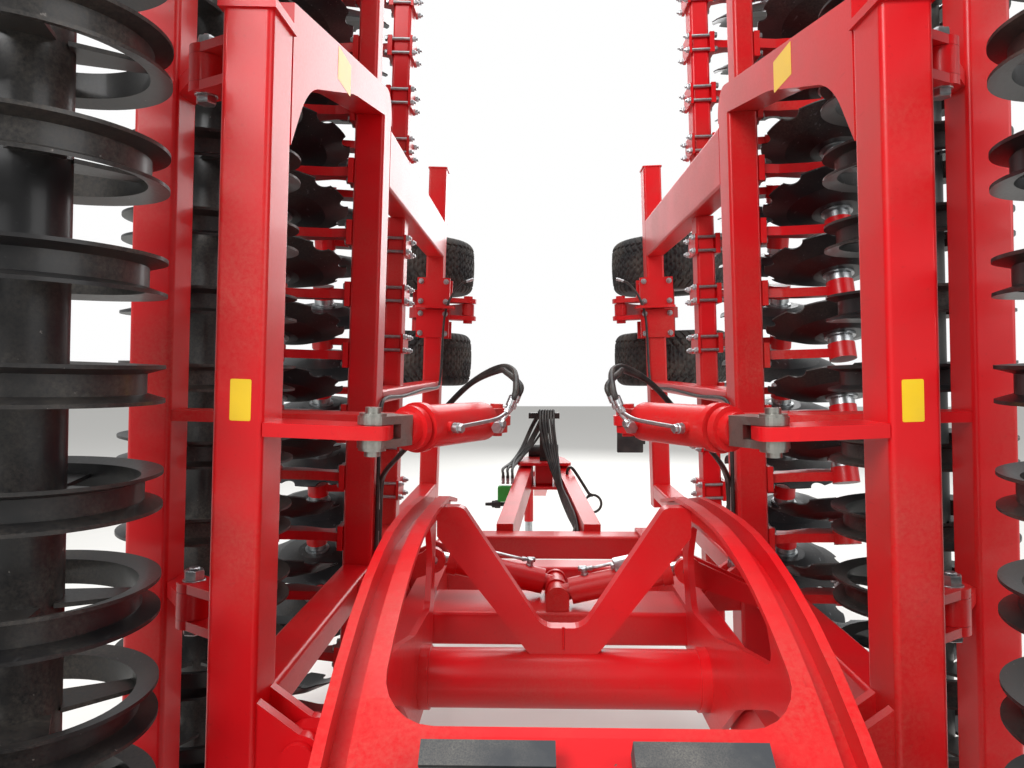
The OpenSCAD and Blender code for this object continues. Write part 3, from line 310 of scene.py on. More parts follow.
paints = {
    "red_paint": sprayedPaint("signalRedPaint", redValues),        # glossy red, pale soil dust, small chips
    "black_paint": sprayedPaint("blackPaint", blackValues),        # satin black with grey dust
    "disc_black": sprayedPaint("discBlackPaint", discValues),      # thin black paint with grey rubbed streaks
    "silver_paint": sprayedPaint("rimSilverPaint", silverValues),  # silver paint with brake and road dust
    "bare_steel": metalSurface("bareForgedSteel", steelValues),    # forged steel with brown handling marks
    "zinc": metalSurface("zincPlating", zincValues),               # bright zinc, spangled in small patches
    "chrome": metalSurface("chromedRod", chromeValues),            # hard chrome, nearly a mirror
    "rubber": softSurface("padRubber", rubberValues),              # grey black moulded rubber
    "tyre": softSurface("tyreRubber", tyreValues),                 # dusty tyre rubber
    "black_plastic": softSurface("blackPlastic", plasticValues),   # fine grained moulded plastic
    "hose": softSurface("hoseRubber", hoseValues),                 # smooth wrapped hose cover
    "yellow_film": softSurface("yellowFilm", filmValues),          # printed film that has kept its colour
    "green_plastic": softSurface("greenPlastic", greenValues),     # clean moulded plastic
}
slotOf = {item["node"]: item["material_slot"] for item in frame["record"]["subparts"]}
for name, obj in frame["nodes"].items():
    obj.data.materials.clear()
    obj.data.materials.append(paints[slotOf[name]])
print("materials set")


# Shapes: a part is an array of points and a list of face arrays, each face's corners counterclockwise from
# outside

# points (r cos a, r sin a, z) from a profile of (r, z), counterclockwise; a radius of 0 is a single point
def lathe(profile, count):
    profile = np.asarray(profile, float)
    a, j = np.arange(count) * 2 * np.pi / count, np.arange(count)
    r, z = profile[:, :1], np.repeat(profile[:, 1:], count, axis=1)
    pole = r < 1e-7
    used = (j == 0) | ~pole
    points = np.stack([r * np.cos(a), r * np.sin(a), z], axis=-1)[used]
    first = np.cumsum(used.sum(axis=1)) - used.sum(axis=1)
    index = first[:, None] + np.where(pole, 0, j)
    faces = []
    for low, high in zip(index[:-1], index[1:]):
        quads = np.stack([low, np.roll(low, -1), np.roll(high, -1), high], axis=1)
        start, end = int(low[0] == low[-1]), 4 - int(high[0] == high[-1])
        if end - start > 2:
            faces.append(quads[:, start:end])
    return points, faces


# the columns of the matrix are the new x, y and z; z is laid along the axis
def turnTo(axis):
    z = np.asarray(axis, float) / np.linalg.norm(axis)
    x = np.cross((0.0, 1.0, 0.0) if abs(z[1]) < 0.9 else (1.0, 0.0, 0.0), z)
    x /= np.linalg.norm(x)
    return np.stack([x, np.cross(z, x), z], axis=1)


# points become matrix * p + offset; a mirroring matrix turns the faces round
def placed(part, matrix, offset=(0.0, 0.0, 0.0)):
    points, faces = part
    matrix = np.asarray(matrix, float)
    if np.linalg.det(matrix) < 0:
        faces = [block[:, ::-1] for block in faces]
    return points @ matrix.T + np.asarray(offset, float), faces


def moved(part, offset):
    return part[0] + np.asarray(offset, float), part[1]


def joined(parts):
    points, faces, count = [], [], 0
    for p, f in parts:
        points.append(p)
        faces += [block + count for block in f]
        count += len(p)
    return np.concatenate(points), faces


# one copy of the part at each place, its z along axis
def copies(part, places, axis):
    matrix = turnTo(axis)
    return joined([placed(part, matrix, place) for place in places])


# a smooth line through the points: Catmull-Rom, steps points to a span
def smoothLine(points, steps=6):
    p = np.asarray(points, float)
    p = np.vstack([2 * p[0] - p[1], p, 2 * p[-1] - p[-2]])
    t = np.linspace(0, 1, steps, endpoint=False)[:, None]
    spans = [0.5 * (2 * b + (c - a) * t + (2 * a - 5 * b + 4 * c - d) * t ** 2
                    + (3 * b - a - 3 * c + d) * t ** 3)
             for a, b, c, d in zip(p[:-3], p[1:-2], p[2:-1], p[3:])]
    return np.vstack(spans + [p[-2:-1]])


# quads between rings of m points each, and a cap at both ends
def ringFaces(rings, m):
    i, j = np.meshgrid(np.arange(rings - 1) * m, np.arange(m), indexing="ij")
    k = (j + 1) % m
    quads = np.stack([i + j, i + k, i + m + k, i + m + j], axis=-1).reshape(-1, 4)
    return [quads, np.arange(m - 1, -1, -1)[None], (rings - 1) * m + np.arange(m)[None]]


# a closed ring of (side, up) points carried along a line without twisting: p = line + scale (x side + y up)
def carried(line, ring, scale=None):
    line, ring = np.asarray(line, float), np.asarray(ring, float)
    ahead = np.gradient(line, axis=0)
    ahead /= np.linalg.norm(ahead, axis=1)[:, None]
    side = np.cross((0.0, 0.0, 1.0), ahead[0])
    if np.linalg.norm(side) < 1e-3:
        side = np.cross((0.0, 1.0, 0.0), ahead[0])
    across = []
    for a in ahead:
        side = side - a * (side @ a)
        side = side / np.linalg.norm(side)
        across.append(side)
    across = np.array(across)
    ups = np.cross(ahead, across)
    scale = np.ones(len(line)) if scale is None else np.asarray(scale, float)
    out = ring[None, :, :1] * across[:, None] + ring[None, :, 1:] * ups[:, None]
    points = line[:, None] + scale[:, None, None] * out
    return points.reshape(-1, 3), ringFaces(len(line), len(ring))


# count places (r cos a, r sin a) round a circle
def ringOf(radius, count, first=0.0):
    a = first + np.arange(count) * 2 * np.pi / count
    return np.stack([radius * np.cos(a), radius * np.sin(a)], axis=1)


# the same places at one height
def circle(radius, count, z, first=0.0):
    return np.column_stack([ringOf(radius, count, first), np.full(count, z)])


# a pipe or hose: a smooth line through the points, steps points to a span, with a round section
def tube(points, steps, radius, count=10):
    return carried(smoothLine(points, steps), ringOf(radius, count))


def rod(start, end, radius, count):
    return carried([start, end], ringOf(radius, count))


# a plate: the outline's (x, y) points with straight walls from low to high and a small bevel at both
def plate(outline, low, high, bevel=0.0015):
    outline = np.asarray(outline, float)
    inward = outline - outline.mean(axis=0)
    small = outline - bevel * inward / np.maximum(np.linalg.norm(inward, axis=1)[:, None], 1e-6)
    levels = [(small, low), (outline, low + bevel), (outline, high - bevel), (small, high)]
    points = np.vstack([np.column_stack([o, np.full(len(o), z)]) for o, z in levels])
    return points, ringFaces(len(levels), len(outline))


# a rectangle round (0, 0) whose corners are quarter circles of four points
def roundedOutline(width, height, radius):
    a = np.linspace(0, np.pi / 2, 4)
    corner = np.stack([np.cos(a), np.sin(a)], axis=1) * radius
    turned = []
    for quarter, (x, y) in enumerate(((1, 1), (-1, 1), (-1, -1), (1, -1))):
        c, s = np.cos(quarter * np.pi / 2), np.sin(quarter * np.pi / 2)
        middle = (x * (width / 2 - radius), y * (height / 2 - radius))
        turned.append(corner @ np.array([[c, s], [-s, c]]) + middle)
    return np.vstack(turned)


# edges that turn by more than 35 degrees stay sharp
def makePiece(name, parts, paint, body):
    points, faces = joined(parts)
    mesh = bpy.data.meshes.new(name)
    mesh.from_pydata(points.tolist(), [], [face for block in faces for face in block.tolist()])
    mesh.polygons.foreach_set("use_smooth", np.ones(len(mesh.polygons), bool))
    mesh.set_sharp_from_angle(angle=math.radians(35.0))
    mesh.materials.append(paints[paint])
    mesh.update()
    obj = bpy.data.objects.new(name, mesh)
    bpy.context.collection.objects.link(obj)
    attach(obj, body)
    triangles = sum(len(block) * (block.shape[1] - 2) for block in faces)
    print("piece", name, triangles, "triangles")
    return obj


# Places shared with the source, in metres; u runs along a wing, h is the height in work

cad = {
    "hingeX": 0.65, "hingeZ": 0.845, "fold": 92.0,      # fold hinge and the folded angle
    "rearTubeY": -2.2435, "midTubeY": -0.9485, "frontTubeY": 1.1965, "discBeamY": -0.1835,
    "tubeLow": 0.62, "tubeMiddle": 0.68, "tubeHalf": 0.075,
    "firstRear": 0.125, "firstFront": 0.45,             # u of the first arm on the middle tube and disc beam
    "pitch": 0.25, "perRow": 14,
    "gaugeWheel": {"u": 1.99, "half": 0.35, "y": 1.7415, "h": 0.47},
    "roadWheel": {"x": 0.93, "y": -3.3785, "z": 0.525},
}


def signOf(side):
    return 1.0 if side == "right" else -1.0


# points (u, y, h) to their folded place
def wingMatrix(side):
    s = signOf(side)
    c, n = math.cos(math.radians(cad["fold"])), math.sin(math.radians(cad["fold"]))
    matrix = np.array([[s * c, 0.0, -s * n], [0.0, 1.0, 0.0], [n, 0.0, c]])
    centre = np.array([cad["hingeX"], 0.0, cad["hingeZ"]])
    return matrix, np.array([s * cad["hingeX"], 0.0, cad["hingeZ"]]) - matrix @ centre


def onWing(side, part):
    return placed(part, *wingMatrix(side))


# places of the right side as they stand at rest, mirrored for the left one
def onSide(side, points):
    return np.asarray(points, float) * (signOf(side), 1.0, 1.0)


def gaugePlace(way):
    v = cad["gaugeWheel"]
    return v["u"] + way * v["half"], v["y"], v["h"]


def roadPlace(side):
    v = cad["roadWheel"]
    return signOf(side) * v["x"], v["y"], v["z"]


# Fasteners, with z = 0 on the plate

washerThick = 0.003


# sizes are the thread's diameter
def hexagon(across, height):
    r = across / math.sqrt(3)
    return lathe([(0, 0), (r, 0), (r, height * 0.84), (r * 0.9, height), (0, height)], 6)


def washer(size):
    r, t = size * 0.98, washerThick
    return lathe([(0, 0), (r, 0), (r, t * 0.7), (r * 0.97, t), (0, t)], 16)


# a nut on its washer with the bolt's end standing out
def nutOn(size, out=0.012):
    heights = np.linspace(size * 0.9, size * 0.9 + out, 7)
    turns = [(size / 2 * f, z) for z, f in zip(heights, (1, 0.88, 1, 0.88, 1, 0.88, 0.8))]
    return joined([washer(size), moved(hexagon(size * 1.55, size * 0.85), (0, 0, washerThick)),
                   lathe([(0, size * 0.85)] + turns + [(0, size * 0.9 + out)], 10)])


def boltHead(size):
    return joined([washer(size), moved(hexagon(size * 1.55, size * 0.65), (0, 0, washerThick))])


clampBolts = {
    "size": 0.016,                    # M16
    "spread": 0.034,                  # half the distance between bolts, on the middle tube both ways
    "reach": 0.0705,                  # from the disc beam's middle to its bolts
    "beam": (0.61, 0.70),             # underside and top of the disc beam
    "foot": 0.022, "cap": 0.014,      # thickness of the plates below and above
    "capHalf": 0.055,
    "crossing": [(0.72, 0.10), (1.455, 0.06), (2.465, 0.25)],  # u and width of beams that leave a cap no room
}


# four bolts hold each disc arm's foot plate; on the disc beam they go through to a cap plate
def makeClampBolts(side):
    v = clampBolts
    size, spread, (low, top) = v["size"], v["spread"], v["beam"]
    heads, nuts, parts = [], [], []
    for i in range(cad["perRow"]):
        u = cad["firstFront"] + cad["pitch"] * i
        capped = min(abs(u - middle) - wide / 2 for middle, wide in v["crossing"]) > v["capHalf"]
        for x in (u - spread, u + spread):
            for y in (cad["discBeamY"] - v["reach"], cad["discBeamY"] + v["reach"]):
                heads.append((x, y, low - v["foot"]))
                if capped:
                    nuts.append((x, y, top + v["cap"]))
                    parts.append(rod((x, y, low), (x, y, top), size / 2, 8))
        u = cad["firstRear"] + cad["pitch"] * i
        heads += [(u + du, cad["midTubeY"] + dy, cad["tubeLow"] - v["foot"])
                  for du in (-spread, spread) for dy in (-spread, spread)]
    parts += [copies(boltHead(size), heads, (0, 0, -1)), copies(nutOn(size), nuts, (0, 0, 1))]
    makePiece("clamp_bolts_" + side, [onWing(side, joined(parts))], "zinc", "wing_" + side)


discBolts = {
    "bolt": 0.012, "circle": 0.044, "count": 5, "face": -0.0187,  # on the hub, from the disc's rim plane
    "angle": 16.0, "height": 0.30,
    "rows": [
        # y, u of the first disc, which way the row faces
        (cad["midTubeY"] - 0.02, 0.225, 1),
        (cad["discBeamY"] - 0.045, 0.35, -1),
    ],
}


# five bolts round each disc's hub; the disc's axis is the wing's own line turned by the row's angle
def makeDiscBolts(side):
    v = discBolts
    bolts = copies(boltHead(v["bolt"]), circle(v["circle"], v["count"], v["face"]), (0, 0, 1))
    a = math.radians(v["angle"])
    parts = []
    for y, first, way in v["rows"]:
        turn = turnTo((way * math.cos(a), math.sin(a), 0.0))
        parts += [placed(bolts, turn, (first + cad["pitch"] * i, y, v["height"]))
                  for i in range(cad["perRow"])]
    makePiece("disc_bolts_" + side, [onWing(side, joined(parts))], "zinc", "wing_" + side)


# Tyres with tread, in the place of the smooth ones

gaugeTread = {
    "radius": 0.435, "width": 0.40, "rim": 0.2051,
    "depth": 0.011, "ribs": 6, "lugs": 46,      # grooves run between the ribs and between the lugs
    "ringWide": 0.16, "cutWide": 0.17,          # half a groove as a share of its period
    "slant": 0.6, "zigzag": 0.006,              # of the cuts, and of the grooves between the ribs
    "steps": 6, "around": 552,                  # grid: points to a span of the section, and round the tyre
}
roadTread = dict(gaugeTread, radius=0.525, width=0.50, rim=0.2901, depth=0.014, ribs=5, lugs=40, zigzag=0.012,
                 slant=0.35, around=640)


# 1 in the middle of each period of x, 0 from wide on
def ridge(x, wide):
    return np.clip((wide - np.abs(x % 1.0 - 0.5)) / (wide * 0.35), 0, 1)


# radius = smooth section - depth * groove, where groove is 1 in zigzag rings between ribs and in slanted cuts
# that open over both shoulders; the section is a smooth line through bead, wall, shoulder and crown
def tyrePart(values):
    r, w, rim = values["radius"], values["width"], values["rim"]
    half = [(0.0, r), (w / 2 - 0.10, r - 0.004), (w / 2 - 0.045, r - 0.014), (w / 2 - 0.012, r - 0.045),
            (w / 2 - 0.001, r - 0.095), (w / 2 - 0.006, rim + 0.06), (w / 2 - 0.03, rim + 0.018),
            (w / 2 - 0.04, rim)]
    line = smoothLine([(-z, q) for z, q in half[:0:-1]] + half, values["steps"])
    z = np.clip(line[:, :1], -w / 2, w / 2)
    q = np.clip(line[:, 1:], rim, r)
    a = np.arange(values["around"])[None, :] * 2 * np.pi / values["around"]
    period = (w - 0.08) / values["ribs"]
    shift = values["zigzag"] * (2 / np.pi) * np.arcsin(np.sin(values["lugs"] * a))
    rings = ridge((z + shift) / period + 0.5 * (values["ribs"] % 2), values["ringWide"])
    rings = rings * (np.abs(z) < w / 2 - 0.03)
    cuts = ridge(a * values["lugs"] / (2 * np.pi) + values["slant"] * np.abs(z) / (w / 2) * 4,
                 values["cutWide"])
    cuts = cuts * np.clip((np.abs(z) - w * 0.12) / 0.01, 0, 1)
    tread = np.clip((q - (r - 0.06)) / 0.02, 0, 1)
    wall = 0.0012 * ridge((q - rim) / 0.016, 0.2) * (1 - tread) * (q > rim + 0.03)
    radius = q - values["depth"] * np.maximum(rings, cuts) * tread + wall
    points = np.stack([radius * np.cos(a), radius * np.sin(a), np.broadcast_to(z, radius.shape)], axis=-1)
    n, m = radius.shape
    i, j = np.meshgrid(np.arange(n), np.arange(m), indexing="ij")
    k, l = (i + 1) % n, (j + 1) % m
    faces = np.stack([i * m + j, i * m + l, k * m + l, k * m + j], axis=-1).reshape(-1, 4)
    return points.reshape(-1, 3), [faces]


def makeTyres():
    upright = turnTo((1, 0, 0))
    tread = tyrePart(gaugeTread)
    for side in sides:
        parts = [onWing(side, placed(tread, upright, gaugePlace(way))) for way in (-1, 1)]
        treads = makePiece("gauge_treads_" + side, parts, "tyre", "gauge_wheels_" + side)
        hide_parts("gauge_tyres_" + side)
    tread = tyrePart(roadTread)
    for side in sides:
        part = placed(tread, upright, roadPlace(side))
        tyre = makePiece("road_tyre_" + side, [part], "tyre", "wheel_" + side)
        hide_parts("tyre_" + side)


makeTyres()
print("tyres made")


# Fittings on the wings

# the crimped end of a hose, z along the hose
def hoseEnd(radius):
    r = radius
    sleeve = [(r * 1.33 - 0.0006 * (i % 2), z) for i, z in enumerate(np.linspace(0.021, 0.05, 8))]
    neck = [(0, 0), (r * 0.8, 0), (r * 1.1, 0.001), (r * 1.1, 0.014), (r * 0.9, 0.015), (r * 0.9, 0.02)]
    return joined([lathe(neck + sleeve + [(r * 1.15, 0.052), (0, 0.052)], 14), hexagon(r * 2.1, 0.012)])


depthFittings = {
    "pin": (1.435, -2.2685, 0.99), "eye": (-1.7135, 1.262),  # u, y, h of one end, y and h of the other
    "ports": (0.255, 0.489), "top": 0.070,                   # along the cylinder, and its surface
    "pipe": 0.006, "hose": 0.0095,
    "ends": [
        # place and direction of the hoses' crimped ends: across the cylinder, along it and off it
        ((0.035, 0.47, 0.115), (0.88, 0.32, 0.2)),
        ((0.045, 0.51, 0.11), (0.9, 0.22, 0.25)),
    ],
    "pipes": [
        [(0, 0.255, 0.079), (0.004, 0.285, 0.084), (0.010, 0.35, 0.096), (0.018, 0.42, 0.108),
         (0.035, 0.47, 0.115)],
        [(0, 0.489, 0.079), (0.012, 0.499, 0.088), (0.045, 0.51, 0.11)],
    ],
}


# places along the cylinder to places on the wing: x stays, y runs along the rod, z stands off it
def depthMatrix():
    u, y, h = depthFittings["pin"]
    dy, dh = depthFittings["eye"][0] - y, depthFittings["eye"][1] - h
    c, s = np.array([dy, dh]) / math.hypot(dy, dh)
    return np.array([[1, 0, 0], [0, c, -s], [0, s, c]]), np.array([u, y, h])


def makeDepthFittings(side):
    v = depthFittings
    boss = lathe([(0, 0), (0.013, 0), (0.0145, 0.002), (0.0145, 0.016), (0.013, 0.018), (0, 0.018)], 16)
    banjo = joined([boss, moved(hexagon(0.022, 0.011), (0, 0, 0.018))])
    parts = [moved(banjo, (0, port, v["top"])) for port in v["ports"]]
    parts += [tube(route, 5, v["pipe"]) for route in v["pipes"]]
    parts += [placed(hoseEnd(v["hose"]), turnTo(way), spot) for spot, way in v["ends"]]
    parts.append(placed(hexagon(0.03, 0.022), turnTo((0, 1, 0)), (-0.012, 0.47, v["top"] + 0.012)))
    fittings = onWing(side, placed(joined(parts), *depthMatrix()))
    makePiece("cylinder_fittings_" + side, [fittings], "zinc", "wing_" + side)


wingHoses = {
    "front": 0.008,                        # radius of the hose from the front tube
    "at": (0.03, 0.0, -0.035),             # y of the three ends at the hinge, from the middle tube
    "endX": 0.7385, "endZ": 0.995,
    "clips": (1.04, 1.24), "clipSize": (0.11, 0.03), "clipThick": 0.0025,
    "clipX": 0.7275, "clipZ": 1.26, "lean": 0.0349,    # a place on the middle tube, which leans 2 degrees
    "route": [(0.531, 1.08, 2.368), (0.575, 1.085, 2.345), (0.64, 1.08, 2.26), (0.682, 1.075, 2.14),
              (0.697, 1.07, 1.985), (0.706, 1.06, 1.80), (0.712, 1.02, 1.68), (0.717, 0.90, 1.645),
              (0.717, 0.30, 1.652), (0.717, -0.40, 1.640), (0.717, -0.84, 1.648), (0.718, -0.9635, 1.61),
              (0.7215, -0.9835, 1.50), (0.729, -0.9835, 1.26), (0.7385, -0.9835, 0.99)],
}


def makeWingHoses(side):
    v = wingHoses
    # two from the depth cylinder: a short bow past the eye, then down behind it and along the middle tube
    hoses = []
    for n, (spot, way) in enumerate(depthFittings["ends"]):
        spot, way = np.array(spot), np.array(way) / np.linalg.norm(way)
        first = np.array([spot + way * 0.03, spot + way * 0.07])
        start, _ = onWing(side, placed((first, []), *depthMatrix()))
        y = cad["midTubeY"] + 0.03 - 0.03 * n
        route = onSide(side, [
            (0.150 + 0.02 * n, -1.775, 1.768 - 0.006 * n), (0.200, -1.70, 1.778 - 0.01 * n),
            (0.300, -1.60, 1.722), (0.43, -1.46, 1.60), (0.60, -1.23, 1.44), (0.70, y - 0.06, 1.34),
            (0.7275, y, 1.26), (0.737, y + 0.004, 1.058), (0.7385, y, 0.99)])
        hoses.append(tube(np.vstack([start, route]), 7, depthFittings["hose"]))
    # one from the front tube: down beside the clamp, along the inner beam and down the middle tube
    hoses.append(tube(onSide(side, v["route"]), 6, v["front"]))
    makePiece("wing_hoses_" + side, hoses, "hose", "wing_" + side)

    spots = onSide(side, [(v["endX"], cad["midTubeY"] + dy, v["endZ"]) for dy in v["at"]])
    parts = [placed(hoseEnd(depthFittings["hose"]), turnTo((0, 0, -1)), spot) for spot in spots]
    way, spot = onSide(side, [(-1, 0.1, 0.3), (0.536, 1.08, 2.366)])
    parts.append(placed(hoseEnd(v["front"]), turnTo(way), spot))
    makePiece("hose_ends_" + side, parts, "zinc", "wing_" + side)

    clip = plate(roundedOutline(*v["clipSize"], 0.004), 0.0, v["clipThick"])
    way = turnTo(onSide(side, (-1, 0, -0.035)))
    clips = []
    for z in v["clips"]:
        x = v["clipX"] - v["lean"] * (z - v["clipZ"])
        clips.append(placed(clip, way, onSide(side, (x, cad["midTubeY"] - 0.002, z))))
    makePiece("hose_clips_" + side, clips, "zinc", "wing_" + side)


gaugeClamp = {
    "bolt": 0.020, "edge": 0.086,          # bolts above and below the front tube's middle
    "short": 0.042, "long": 0.178,         # bolts from the gauge arm's middle along the tube
    "plate": 0.095,                        # the plates' faces from the tube's middle
}


# nuts on the rear plate; the outer bolts also go round the tube to heads on the front plates
def makeGaugeBolts(side):
    v = gaugeClamp
    rear, front = cad["frontTubeY"] - v["plate"], cad["frontTubeY"] + v["plate"]
    parts = []
    for row in (v["short"], v["long"]):
        spots = [(cad["gaugeWheel"]["u"] + a * row, cad["tubeMiddle"] + b * v["edge"])
                 for a in (-1, 1) for b in (-1, 1)]
        parts.append(copies(nutOn(v["bolt"]), [(u, rear, h) for u, h in spots], (0, -1, 0)))
        if row == v["long"]:
            parts.append(copies(boltHead(v["bolt"]), [(u, front, h) for u, h in spots], (0, 1, 0)))
            parts += [rod((u, rear, h), (u, front, h), v["bolt"] / 2, 10) for u, h in spots]
    makePiece("gauge_bolts_" + side, [onWing(side, joined(parts))], "zinc", "wing_" + side)


wheelFixings = {
    # nuts in a circle and a cap; disc and hub are how far their faces stand from the wheel's middle
    "gauge": {"count": 6, "circle": 0.152, "nut": 0.014, "disc": 0.010, "hub": 0.030, "cap": 0.052},
    "road": {"count": 10, "circle": 0.165, "nut": 0.022, "disc": 0.010, "hub": 0.030, "cap": 0.078},
}


def wheelNuts(values):
    spots = circle(values["circle"], values["count"], values["disc"])
    nuts = copies(nutOn(values["nut"], 0.006), spots, (0, 0, 1))
    r = values["cap"]
    dome = lathe([(0, 0), (r, 0), (r, 0.012), (r * 0.86, 0.016), (r * 0.82, 0.034), (r * 0.7, 0.040),
                  (0, 0.042)], 28)
    return joined([nuts, moved(dome, (0, 0, values["hub"]))])


def makeWheelNuts(side):
    nuts = wheelNuts(wheelFixings["gauge"])
    parts = [onWing(side, placed(nuts, turnTo((way, 0, 0)), gaugePlace(way))) for way in (-1, 1)]
    makePiece("gauge_nuts_" + side, parts, "zinc", "gauge_wheels_" + side)
    nuts = placed(wheelNuts(wheelFixings["road"]), turnTo((signOf(side), 0, 0)), roadPlace(side))
    makePiece("wheel_nuts_" + side, [nuts], "zinc", "wheel_" + side)


rollerBearing = {
    "ends": ((0.056, -1), (3.724, 1)),     # u of the end plates' outer faces and which way they look
    "rows": (-2.4885, -1.5585), "height": 0.287,
    "flange": 0.068, "thick": 0.005, "circle": 0.058, "bolt": 0.010,
}


# flanged bearings on the end plates, with a low cap over the stub and four bolts
def makeRollerBearings(side):
    v = rollerBearing
    cap = lathe([(0, 0), (v["flange"], 0), (v["flange"], v["thick"]), (0.047, 0.006), (0.044, 0.013),
                 (0.030, 0.0152), (0, 0.0156)], 28)
    ring = copies(boltHead(v["bolt"]), circle(v["circle"], 4, v["thick"], np.pi / 4), (0, 0, 1))
    for name, part, paint in (("bearing_caps_", cap, "black_paint"), ("bearing_bolts_", ring, "zinc")):
        parts = [placed(part, turnTo((way, 0, 0)), (u, y, v["height"]))
                 for u, way in v["ends"] for y in v["rows"]]
        makePiece(name + side, [onWing(side, joined(parts))], paint, "wing_" + side)


earPins = {
    "u": (0.95, 2.34), "y": -2.1085, "h": 0.495,       # the pins' middles
    "half": 0.060, "size": 0.030,                      # half their length and their thread
}


# bolt heads and nuts at the ends of the roller carrier's pins
def makeEarBolts(side):
    v = earPins
    parts = []
    for u in v["u"]:
        parts.append(placed(boltHead(v["size"]), turnTo((-1, 0, 0)), (u - v["half"], v["y"], v["h"])))
        parts.append(placed(nutOn(v["size"], 0.008), turnTo((1, 0, 0)), (u + v["half"], v["y"], v["h"])))
    makePiece("ear_bolts_" + side, [onWing(side, joined(parts))], "zinc", "wing_" + side)


stickers = {
    "thick": 0.0006, "corner": 0.004,
    "places": [
        # u, y, h, width and length, and the columns that lay it on its face: the rear tube, the arch
        (1.503, cad["rearTubeY"] - cad["tubeHalf"], 0.687, 0.050, 0.098, [[0, 1, 0], [0, 0, -1], [-1, 0, 0]]),
        (2.52, -1.665, 0.74, 0.10, 0.16, np.eye(3)),
    ],
}


def makeStickers(side):
    v = stickers
    parts = []
    for u, y, h, wide, long, columns in v["places"]:
        film = plate(roundedOutline(wide, long, v["corner"]), 0.0, v["thick"], 0.0002)
        parts.append(placed(film, columns, (u, y, h)))
    makePiece("stickers_" + side, [onWing(side, joined(parts))], "yellow_film", "wing_" + side)


for side in sides:
    makeClampBolts(side)
    makeDiscBolts(side)
    makeDepthFittings(side)
    makeWingHoses(side)
    makeGaugeBolts(side)
    makeWheelNuts(side)
    makeRollerBearings(side)
    makeEarBolts(side)
    makeStickers(side)
print("wing fittings made")


# Fittings of the centre

foldFittings = {
    "pin": {"left": -1.1865, "right": -1.3105}, "height": 0.945,  # y and z of the barrels' pin ends
    "along": 0.97627, "rise": 0.21656,                            # the barrels' direction
    "ports": (0.115, 0.352), "top": 0.046,                        # along the barrel, and its surface
    "pipe": 0.006, "hose": 0.008,
    "block": (0.225, 0.295, 0.048, 0.036),                        # valve block: from, to, width, height
}


# places along the barrel to world: x along it from the pin, y as it is, z stands off its top
def onBarrel(side, part):
    v = foldFittings
    s = signOf(side)
    matrix = np.array([[s * v["along"], 0, -s * v["rise"]], [0, 1, 0], [v["rise"], 0, v["along"]]])
    return placed(part, matrix, (0, v["pin"][side], v["height"]))


def makeFoldFittings(side):
    v = foldFittings
    near, far = v["ports"]
    top = v["top"]
    boss = lathe([(0, -0.012), (0.014, -0.012), (0.014, 0.006), (0.012, 0.008), (0.0125, 0.018),
                  (0, 0.018)], 18)
    banjo = joined([boss, moved(hexagon(0.02, 0.009), (0, 0, 0.018))])
    parts = [moved(banjo, (x, 0, top)) for x in v["ports"]]
    parts.append(tube([(far, 0, top + 0.012), (far - 0.02, 0.012, top + 0.017),
                       (far - 0.06, 0.016, top + 0.017), (near + 0.06, 0.016, top + 0.016),
                       (near + 0.03, 0.022, top + 0.014)], 5, v["pipe"]))
    parts.append(placed(hoseEnd(v["hose"]), turnTo((-0.9, 0.2, 0.1)), (near + 0.032, 0.022, top + 0.014)))
    if side == "right":
        start, end, wide, high = v["block"]
        block = plate(roundedOutline(end - start, wide, 0.004), top - 0.004, top + high)
        parts.append(moved(block, ((start + end) / 2, -0.006, 0)))
        parts += [placed(hexagon(0.019, 0.012), turnTo((way, 0, 0)), (x, -0.016, top + 0.016))
                  for x, way in ((start, -1), (end, 1))]
    makePiece("barrel_fittings_" + side, [onBarrel(side, joined(parts))], "zinc", "fold_cylinder_" + side)


hoseBundle = {
    "count": 6, "radius": 0.0085, "pitch": 0.019,                       # hoses side by side over the rack
    "face": -0.0385,                                                    # front face of the front cross member
    "holder": (-0.244, 0.80, 0.957), "holderSize": (0.10, 0.13, 0.05),  # its middle; width, height and depth
    "plug": (-0.205, 0.80, 0.888),
}


